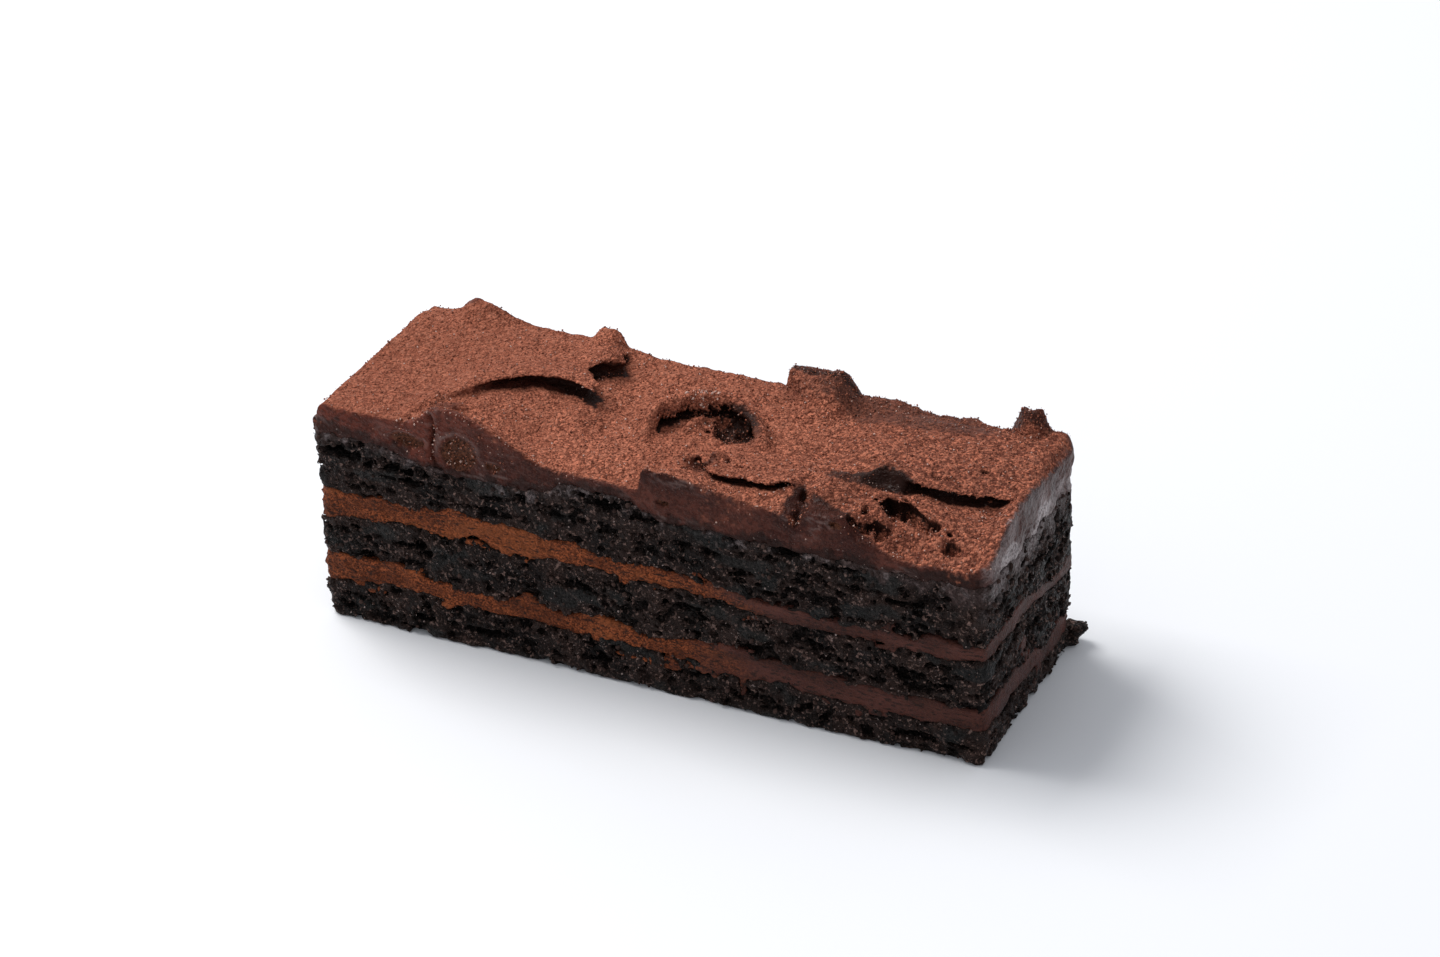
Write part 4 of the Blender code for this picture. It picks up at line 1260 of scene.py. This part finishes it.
def finish_bump(tree, shader, height, distance, strength):
    bump = node(tree, "Bump", in_Height=height)
    bump.inputs["Distance"].default_value = distance
    bump.inputs["Strength"].default_value = strength
    tree.links.new(bump.outputs["Normal"], shader.inputs["Normal"])


def sponge_material(looks):
    made, tree, shader = new_material("dark chocolate sponge")
    fine = use_group(tree, grain_group, "cake grain", 2300.0, 0.05)
    mottle = use_group(tree, mottle_group, "cake mottle", 150.0)
    crumb = blend(tree, mottle["Drift"], looks.dark, looks.light)
    # Clustered pale tips on the crumb: partly paler crumb, partly a painted highlight on the lumps' lit tops.
    bunched = maths(tree, "MULTIPLY", ramp(tree, fine["Tone"], 0.5, 1.0), ramp(tree, mottle["Speck"], 0.35, 0.9))
    crumb = blend(tree, bunched, crumb, looks.pale_and_lit_tips)
    # Pressed patches in slate grey: partly the smoother pressed crumb, partly a painted sheen of the soft light on
    # them.
    tight = blend(tree, fine["Tone"], (0.0040, 0.0050, 0.0048), (0.027, 0.0275, 0.0262))
    colour = blend(tree, maths(tree, "MULTIPLY", attribute(tree, "pressed"), 0.8), crumb, tight)
    smear = blend(tree, mottle["Speck"], (0.036, 0.019, 0.016), (0.088, 0.058, 0.054))
    colour = blend(tree, maths(tree, "MULTIPLY", attribute(tree, "smeared"), 0.85), colour, smear)
    # Painted sheen on the right end, and pale crumb under the frosting.
    sheen_and_pale = maths(tree, "MULTIPLY", attribute(tree, "sheen_and_pale"), ramp(tree, fine["Tone"], 0.1, 0.9, 0.25, 1.0))
    colour = blend(tree, sheen_and_pale, colour, (0.245, 0.200, 0.198))
    # Painted shade in the pits.
    colour = blend(tree, ramp(tree, attribute(tree, "sunk"), 0.0, 1.0, 0.0, 0.9), colour, (0.0035, 0.0024, 0.0021))
    # Painted glints on the crumb.
    colour = blend(tree, maths(tree, "MULTIPLY", fine["Glint"], 0.85), colour, (0.34, 0.26, 0.24))
    tree.links.new(colour, shader.inputs["Base Color"])
    tree.links.new(ramp(tree, mottle["Speck"], 0.0, 1.0, 0.36, 0.62), shader.inputs["Roughness"])
    shader.inputs["Specular IOR Level"].default_value = 0.12
    height = maths(tree, "MULTIPLY_ADD", fine["Height"], 0.7, mottle["Speck"])
    finish_bump(tree, shader, height, 0.00055, 1.0)
    return made


def cream_material(looks):
    made, tree, shader = new_material("chocolate cream")
    fine = use_group(tree, grain_group, "cake grain", 3800.0, 0.03)
    mottle = use_group(tree, mottle_group, "cake mottle", 230.0, along=0.3)
    smooth = attribute(tree, "smooth")
    grainy = blend(tree, fine["Tone"], looks.grainy_dark, looks.grainy_light)
    coarse = use_group(tree, grain_group, "cake grain", 1900.0, 0.0)
    grainy = blend(tree, ramp(tree, coarse["Tone"], 0.0, 0.8, 0.4, 0.0), grainy, (0.055, 0.014, 0.0055))
    grainy = blend(tree, ramp(tree, mottle["Drift"], 0.45, 1.0, 0.0, 0.5), grainy, (0.050, 0.0125, 0.0055))
    grainy = blend(tree, ramp(tree, mottle["Drift"], 0.0, 0.45, 0.45, 0.0), grainy, (0.250, 0.073, 0.025))
    # Painted glints on the grainy cream.
    grainy = blend(tree, maths(tree, "MULTIPLY", fine["Glint"], 0.6), grainy, (0.50, 0.20, 0.085))
    sleek = blend(tree, mottle["Drift"], looks.sleek_dark, looks.sleek_light)
    sleek = blend(tree, maths(tree, "MULTIPLY", fine["Tone"], 0.35), sleek, (0.110, 0.036, 0.020))
    colour = blend(tree, smooth, grainy, sleek)
    colour = blend(tree, ramp(tree, mottle["Speck"], 0.78, 1.0, 0.0, 0.8), colour, (0.016, 0.008, 0.006))
    tree.links.new(colour, shader.inputs["Base Color"])
    tree.links.new(ramp(tree, smooth, 0.0, 1.0, 0.66, 0.42), shader.inputs["Roughness"])
    shader.inputs["Specular IOR Level"].default_value = 0.10
    height = maths(tree, "MULTIPLY_ADD", fine["Height"], 0.5, mottle["Speck"])
    finish_bump(tree, shader, height, 0.0002, 0.8)
    return made


def frosting_material(looks):
    made, tree, shader = new_material("cocoa dusted frosting")
    fine = use_group(tree, grain_group, "cake grain", 3300.0, 0.02)
    mottle = use_group(tree, mottle_group, "cake mottle", 110.0)
    dust = attribute(tree, "dust")
    along = node(tree, "SeparateXYZ", in_Vector=node(tree, "TexCoord").outputs["Object"]).outputs["X"]
    cut = blend(tree, mottle["Drift"], looks.cut_dark, looks.cut_light)
    cut = blend(tree, ramp(tree, along, -0.050, -0.015, 0.45, 0.0), cut, (0.165, 0.034, 0.019))
    # Darker from the middle of the front cut to the right: partly darker frosting, partly painted shade.
    cut = blend(tree, ramp(tree, along, -0.010, 0.010, 0.0, 0.28), cut, (0.028, 0.0088, 0.0068))
    cut = blend(tree, ramp(tree, mottle["Speck"], 0.2, 1.0, 0.0, 0.55), cut, (0.020, 0.0062, 0.0044))
    cut = blend(tree, ramp(tree, fine["Tone"], 0.4, 1.0, 0.0, 0.25), cut, (0.140, 0.052, 0.037))
    cut = blend(tree, maths(tree, "MULTIPLY", attribute(tree, "murk"), 0.75), cut, (0.014, 0.0068, 0.0055))
    # Painted highlights: pale shine streaks and bright bubble rims.
    cut = blend(tree, attribute(tree, "shine_streak"), cut, (0.190, 0.125, 0.112))
    # Bare points away from the cuts darkened: partly darker bare frosting, partly painted shade in hollows and on
    # facets turned from the light.
    cut = blend(tree, maths(tree, "MULTIPLY", attribute(tree, "torn"), 0.85), cut, (0.017, 0.0075, 0.0055))
    # Painted sheen on the right end's frosting, with darker grains in it.
    sheen = blend(tree, mottle["Drift"], (0.165, 0.132, 0.130), (0.480, 0.420, 0.418))
    sheen = blend(tree, ramp(tree, fine["Tone"], 0.1, 0.7, 0.65, 0.0), sheen, (0.045, 0.032, 0.032))
    cut = blend(tree, attribute(tree, "sheen_and_pale"), cut, sheen)
    open_bubble = blend(tree, fine["Tone"], (0.026, 0.009, 0.005), (0.125, 0.042, 0.021))
    cut = blend(tree, attribute(tree, "bubble"), cut, open_bubble)
    # Painted glints on the cut face, standing in for its moist highlights.
    painted_glints = use_group(tree, grain_group, "cake grain", 2000.0, 0.03)
    cut = blend(tree, maths(tree, "MULTIPLY", painted_glints["Glint"], 0.6), cut, (0.36, 0.27, 0.24))
    coarse = use_group(tree, grain_group, "cake grain", 1750.0, 0.0)
    cocoa = blend(tree, fine["Tone"], looks.cocoa_dark, looks.cocoa_light)
    cocoa = blend(tree, maths(tree, "MULTIPLY", mottle["Drift"], 0.3), cocoa, (0.22, 0.066, 0.038))
    cocoa = blend(tree, ramp(tree, coarse["Tone"], 0.0, 0.9, 0.45, 0.0), cocoa, (0.125, 0.036, 0.021))
    clotted = maths(tree, "MULTIPLY", ramp(tree, along, 0.0, 0.045), ramp(tree, coarse["Tone"], 0.15, 0.75, 0.7, 0.0))
    cocoa = blend(tree, clotted, cocoa, (0.080, 0.024, 0.016))
    cocoa = blend(tree, ramp(tree, along, -0.050, -0.012, 0.36, 0.0), cocoa, (0.17, 0.050, 0.028))
    cocoa = blend(tree, ramp(tree, mottle["Speck"], 0.5, 1.0, 0.0, 0.35), cocoa, (0.43, 0.17, 0.108))
    # Painted glints on the cocoa.
    cocoa = blend(tree, maths(tree, "MULTIPLY", fine["Glint"], 0.7), cocoa, (0.75, 0.45, 0.35))
    colour = blend(tree, dust, cut, cocoa)
    tree.links.new(colour, shader.inputs["Base Color"])
    tree.links.new(ramp(tree, dust, 0.0, 1.0, 0.34, 0.9), shader.inputs["Roughness"])
    shader.inputs["Specular IOR Level"].default_value = 0.08
    lumpy = maths(tree, "MULTIPLY_ADD", fine["Height"], 0.5, coarse["Height"])
    dusty = maths(tree, "MULTIPLY", lumpy, dust)
    height = maths(tree, "MULTIPLY_ADD", mottle["Speck"], 0.8, dusty)
    finish_bump(tree, shader, height, 0.00028, 0.9)
    return made


def lump_material(name, dark, light, pale, share):
    """Loose grains or crumbs: each has a tone of its own between dark and light, and a share of them is pale."""
    made, tree, shader = new_material(name)
    fine = use_group(tree, grain_group, "cake grain", 5000.0, 0.0)
    tone = attribute(tree, "tone")
    colour = blend(tree, tone, dark, light)
    colour = blend(tree, ramp(tree, tone, 1.0 - share, 1.0 - share * 0.7), colour, pale)
    colour = blend(tree, maths(tree, "MULTIPLY", fine["Tone"], 0.4), colour, dark)
    tree.links.new(colour, shader.inputs["Base Color"])
    shader.inputs["Roughness"].default_value = 0.8
    shader.inputs["Specular IOR Level"].default_value = 0.15
    finish_bump(tree, shader, fine["Height"], 0.0001, 0.7)
    return made


# ---------------------------------------------------------------- stage

# Where the camera stands from the slice's own frame, and its right, up and back directions.
CAMERA_PLACE = (232.274, -475.518, 349.611)
CAMERA_AXES = ((0.90918342, 0.41560463, -0.02565726), (-0.19481089, 0.47901142, 0.85591868),
               (0.36801388, -0.77318876, 0.51647355))
FLOOR_REACH = 3.0
WINDOW_PLACE = (-0.75, 0.12, 1.1)
WINDOW_SIZE = 0.8


def place_camera(looks):
    camera = bpy.data.objects.new("camera", bpy.data.cameras.new("camera"))
    bpy.context.collection.objects.link(camera)
    place = (Vector(CAMERA_PLACE) + Vector((*SLICE_MIDDLE, 0.0))) * MM
    camera.matrix_world = Matrix.Translation(place) @ Matrix(CAMERA_AXES).transposed().to_4x4()
    camera.data.lens = looks.lens
    camera.data.sensor_width = 36.0
    bpy.context.scene.camera = camera


def soft_window(looks):
    """One broad soft light, up on the left behind the slice."""
    lamp = bpy.data.lights.new("window", "AREA")
    lamp.size = WINDOW_SIZE
    lamp.energy = looks.window
    lamp.color = (1.0, 0.985, 0.97)
    thing = bpy.data.objects.new("window", lamp)
    thing.location = WINDOW_PLACE
    thing.rotation_euler = (-Vector(WINDOW_PLACE)).to_track_quat("-Z", "Y").to_euler()
    bpy.context.collection.objects.link(thing)


def pale_floor(looks):
    mesh = bpy.data.meshes.new("floor")
    corners = [(x * FLOOR_REACH, y * FLOOR_REACH, 0.0) for x, y in ((-1, -1), (1, -1), (1, 1), (-1, 1))]
    mesh.from_pydata(corners, [], [(0, 1, 2, 3)])
    floor = bpy.data.objects.new("floor", mesh)
    bpy.context.collection.objects.link(floor)
    made, tree, shader = new_material("pale floor")
    shader.inputs["Base Color"].default_value = (*looks.floor, 1.0)
    shader.inputs["Roughness"].default_value = 0.6
    mesh.materials.append(made)
    return floor


def daylight(looks):
    world = bpy.data.worlds.new("studio")
    world.use_nodes = True
    sky = world.node_tree.nodes["Background"]
    sky.inputs["Color"].default_value = (*looks.sky, 1.0)
    sky.inputs["Strength"].default_value = 0.6
    bpy.context.scene.world = world
    bpy.context.scene.view_settings.view_transform = "Standard"


# ---------------------------------------------------------------- settings


def tint(name, description, default):
    """A colour setting."""
    return FloatVectorProperty(name=name, description=description, default=default, size=3, min=0.0, max=1.0,
                               subtype="COLOR")


class CakeCut(PropertyGroup):
    """How finely the layers are carved."""

    detail: FloatProperty(name="Detail", description="Distance between the samples that a layer is carved from",
                          default=0.4 * MM, min=0.2 * MM, max=1.0 * MM, precision=5, unit="LENGTH")


class CakeSponge(PropertyGroup):
    """The dark sponge and its loose crumbs."""

    dark: tint("Dark", "Darker colour of the crumb", (0.0065, 0.0045, 0.0040))
    light: tint("Light", "Lighter colour of the crumb", (0.035, 0.0195, 0.0155))
    # Tips: partly paler crumb, partly a painted highlight on the crumb's lit tops.
    pale_and_lit_tips: tint("Tips", "Colour of the crumb's highest grains", (0.215, 0.135, 0.113))
    crumbs: IntProperty(name="Crumbs", description="Loose crumbs on each sponge", default=900, min=0, max=2000)
    crumb_size: FloatProperty(name="Crumb size", description="Half width of the largest loose crumbs",
                              default=0.50 * MM, min=0.2 * MM, max=2.0 * MM, precision=5, unit="LENGTH")


class CakeCream(PropertyGroup):
    """The two cream bands, grainy at the left and sleek at the right."""

    grainy_dark: tint("Grainy dark", "Darker grains at the left", (0.054, 0.013, 0.0050))
    grainy_light: tint("Grainy light", "Lighter grains at the left", (0.340, 0.088, 0.030))
    sleek_dark: tint("Sleek dark", "Darker cream at the right", (0.030, 0.0105, 0.0085))
    sleek_light: tint("Sleek light", "Lighter cream at the right", (0.085, 0.030, 0.024))


class CakeFrosting(PropertyGroup):
    """The torn frosting and the cocoa on it."""

    cut_dark: tint("Cut dark", "Darker colour of the cut frosting", (0.030, 0.0068, 0.0044))
    cut_light: tint("Cut light", "Lighter colour of the cut frosting", (0.106, 0.030, 0.0195))
    cocoa_dark: tint("Cocoa dark", "Darker grains of the cocoa", (0.130, 0.036, 0.020))
    cocoa_light: tint("Cocoa light", "Lighter grains of the cocoa", (0.58, 0.200, 0.118))
    grains: IntProperty(name="Grains", description="Loose grains of cocoa", default=17000, min=0, max=24000)
    grain_size: FloatProperty(name="Grain size", description="Half width of the largest loose grains",
                              default=0.24 * MM, min=0.1 * MM, max=1.0 * MM, precision=5, unit="LENGTH")


class CakeStage(PropertyGroup):
    """The floor, the light and the camera."""

    floor: tint("Floor", "Colour of the floor", (0.80, 0.815, 0.84))
    sky: tint("Sky", "Colour of the light from all round", (0.93, 0.95, 1.0))
    window: FloatProperty(name="Window", description="Power of the soft light", default=18.0, min=0.0, unit="POWER")
    lens: FloatProperty(name="Lens", description="Focal length of the camera", default=89.79, min=20.0, max=300.0,
                        unit="CAMERA")


class CakeSlice(PropertyGroup):
    """All that a user would change on the slice."""

    cut: PointerProperty(type=CakeCut, name="Cut", description="How finely the layers are carved")
    sponge: PointerProperty(type=CakeSponge, name="Sponge", description="The dark sponge")
    cream: PointerProperty(type=CakeCream, name="Cream", description="The cream bands")
    frosting: PointerProperty(type=CakeFrosting, name="Frosting", description="The frosting and its cocoa")
    stage: PointerProperty(type=CakeStage, name="Stage", description="The floor, the light and the camera")


# ---------------------------------------------------------------- steps

SPONGES = (("sponge_bottom", 0), ("sponge_middle", 2), ("sponge_top", 4))
CREAMS = (("cream_lower", 1), ("cream_upper", 3))


def sample_distance(context):
    """The cell that layers are carved with, in millimetres."""
    detail = context.scene.cake_slice.cut.detail / MM
    return detail


def tie(piece):
    """The piece rides on the slice's one body."""
    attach(piece, BODY)


class CAKE_OT_sponges(Operator):
    """Carve the three sponges"""

    bl_idname = "cake.sponges"
    bl_label = "Carve Sponges"

    def execute(self, context):
        finish = sponge_material(context.scene.cake_slice.sponge)
        for solid, index in SPONGES:
            piece = sponge(solid + "_crumb", index, sample_distance(context))
            piece.data.materials.append(finish)
            tie(piece)
            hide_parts(solid)
        return {"FINISHED"}


class CAKE_OT_creams(Operator):
    """Carve the two cream bands between the sponges"""

    bl_idname = "cake.creams"
    bl_label = "Carve Creams"

    def execute(self, context):
        finish = cream_material(context.scene.cake_slice.cream)
        for solid, index in CREAMS:
            piece = cream(solid + "_band", index, sample_distance(context))
            piece.data.materials.append(finish)
            tie(piece)
            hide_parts(solid)
        return {"FINISHED"}


class CAKE_OT_frosting(Operator):
    """Carve the torn frosting"""

    bl_idname = "cake.frosting"
    bl_label = "Carve Frosting"

    def execute(self, context):
        piece = frosting("frosting", sample_distance(context))
        piece.data.materials.append(frosting_material(context.scene.cake_slice.frosting))
        tie(piece)
        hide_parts("frosting_top")
        return {"FINISHED"}


class CAKE_OT_cocoa(Operator):
    """Scatter loose grains of cocoa over the frosting, which is carved first"""

    bl_idname = "cake.cocoa"
    bl_label = "Scatter Cocoa"

    def execute(self, context):
        looks = context.scene.cake_slice.frosting
        piece = cocoa_grains("cocoa_grains", bpy.data.objects["frosting"], looks.grains, looks.grain_size / MM)
        finish = lump_material("loose cocoa", (0.150, 0.046, 0.028), (0.43, 0.155, 0.095), (0.64, 0.44, 0.37), 0.08)
        piece.data.materials.append(finish)
        tie(piece)
        return {"FINISHED"}


class CAKE_OT_crumbs(Operator):
    """Scatter loose crumbs over the sponges, which are carved first"""

    bl_idname = "cake.crumbs"
    bl_label = "Scatter Crumbs"

    def execute(self, context):
        looks = context.scene.cake_slice.sponge
        carved = [bpy.data.objects[solid + "_crumb"] for solid, index in SPONGES]
        piece = sponge_crumbs("loose_crumbs", carved, looks.crumbs, looks.crumb_size / MM)
        # The pale share stands partly for pale crumbs and partly for painted glints.
        finish = lump_material("loose crumb", (0.010, 0.0060, 0.0050), (0.075, 0.042, 0.034), (0.34, 0.26, 0.24), 0.12)
        piece.data.materials.append(finish)
        tie(piece)
        return {"FINISHED"}


class CAKE_OT_stage(Operator):
    """Set up the floor, the light and the camera"""

    bl_idname = "cake.stage"
    bl_label = "Set Stage"

    def execute(self, context):
        looks = context.scene.cake_slice.stage
        pale_floor(looks)
        daylight(looks)
        soft_window(looks)
        place_camera(looks)
        return {"FINISHED"}


STEPS = (CAKE_OT_sponges, CAKE_OT_creams, CAKE_OT_frosting, CAKE_OT_cocoa, CAKE_OT_crumbs, CAKE_OT_stage)


class CAKE_PT_slice(Panel):
    """The slice's steps and settings in the sidebar"""

    bl_label = "Chocolate Cake Slice"
    bl_space_type = "VIEW_3D"
    bl_region_type = "UI"
    bl_category = "Cake"

    def draw(self, context):
        for step in STEPS:
            self.layout.operator(step.bl_idname)
        for part in CakeSlice.__annotations__:
            looks = getattr(context.scene.cake_slice, part)
            box = self.layout.box()
            box.label(text=part.title())
            for setting in type(looks).__annotations__:
                box.prop(looks, setting)


CLASSES = (CakeCut, CakeSponge, CakeCream, CakeFrosting, CakeStage, CakeSlice, *STEPS, CAKE_PT_slice)


def register():
    for kind in CLASSES:
        bpy.utils.register_class(kind)
    bpy.types.Scene.cake_slice = PointerProperty(type=CakeSlice)


def unregister():
    del bpy.types.Scene.cake_slice
    for kind in reversed(CLASSES):
        bpy.utils.unregister_class(kind)


def main():
    register()
    bpy.ops.cake.sponges()
    bpy.ops.cake.creams()
    bpy.ops.cake.frosting()
    bpy.ops.cake.cocoa()
    bpy.ops.cake.crumbs()
    bpy.ops.cake.stage()


if __name__ == "__main__":
    main()
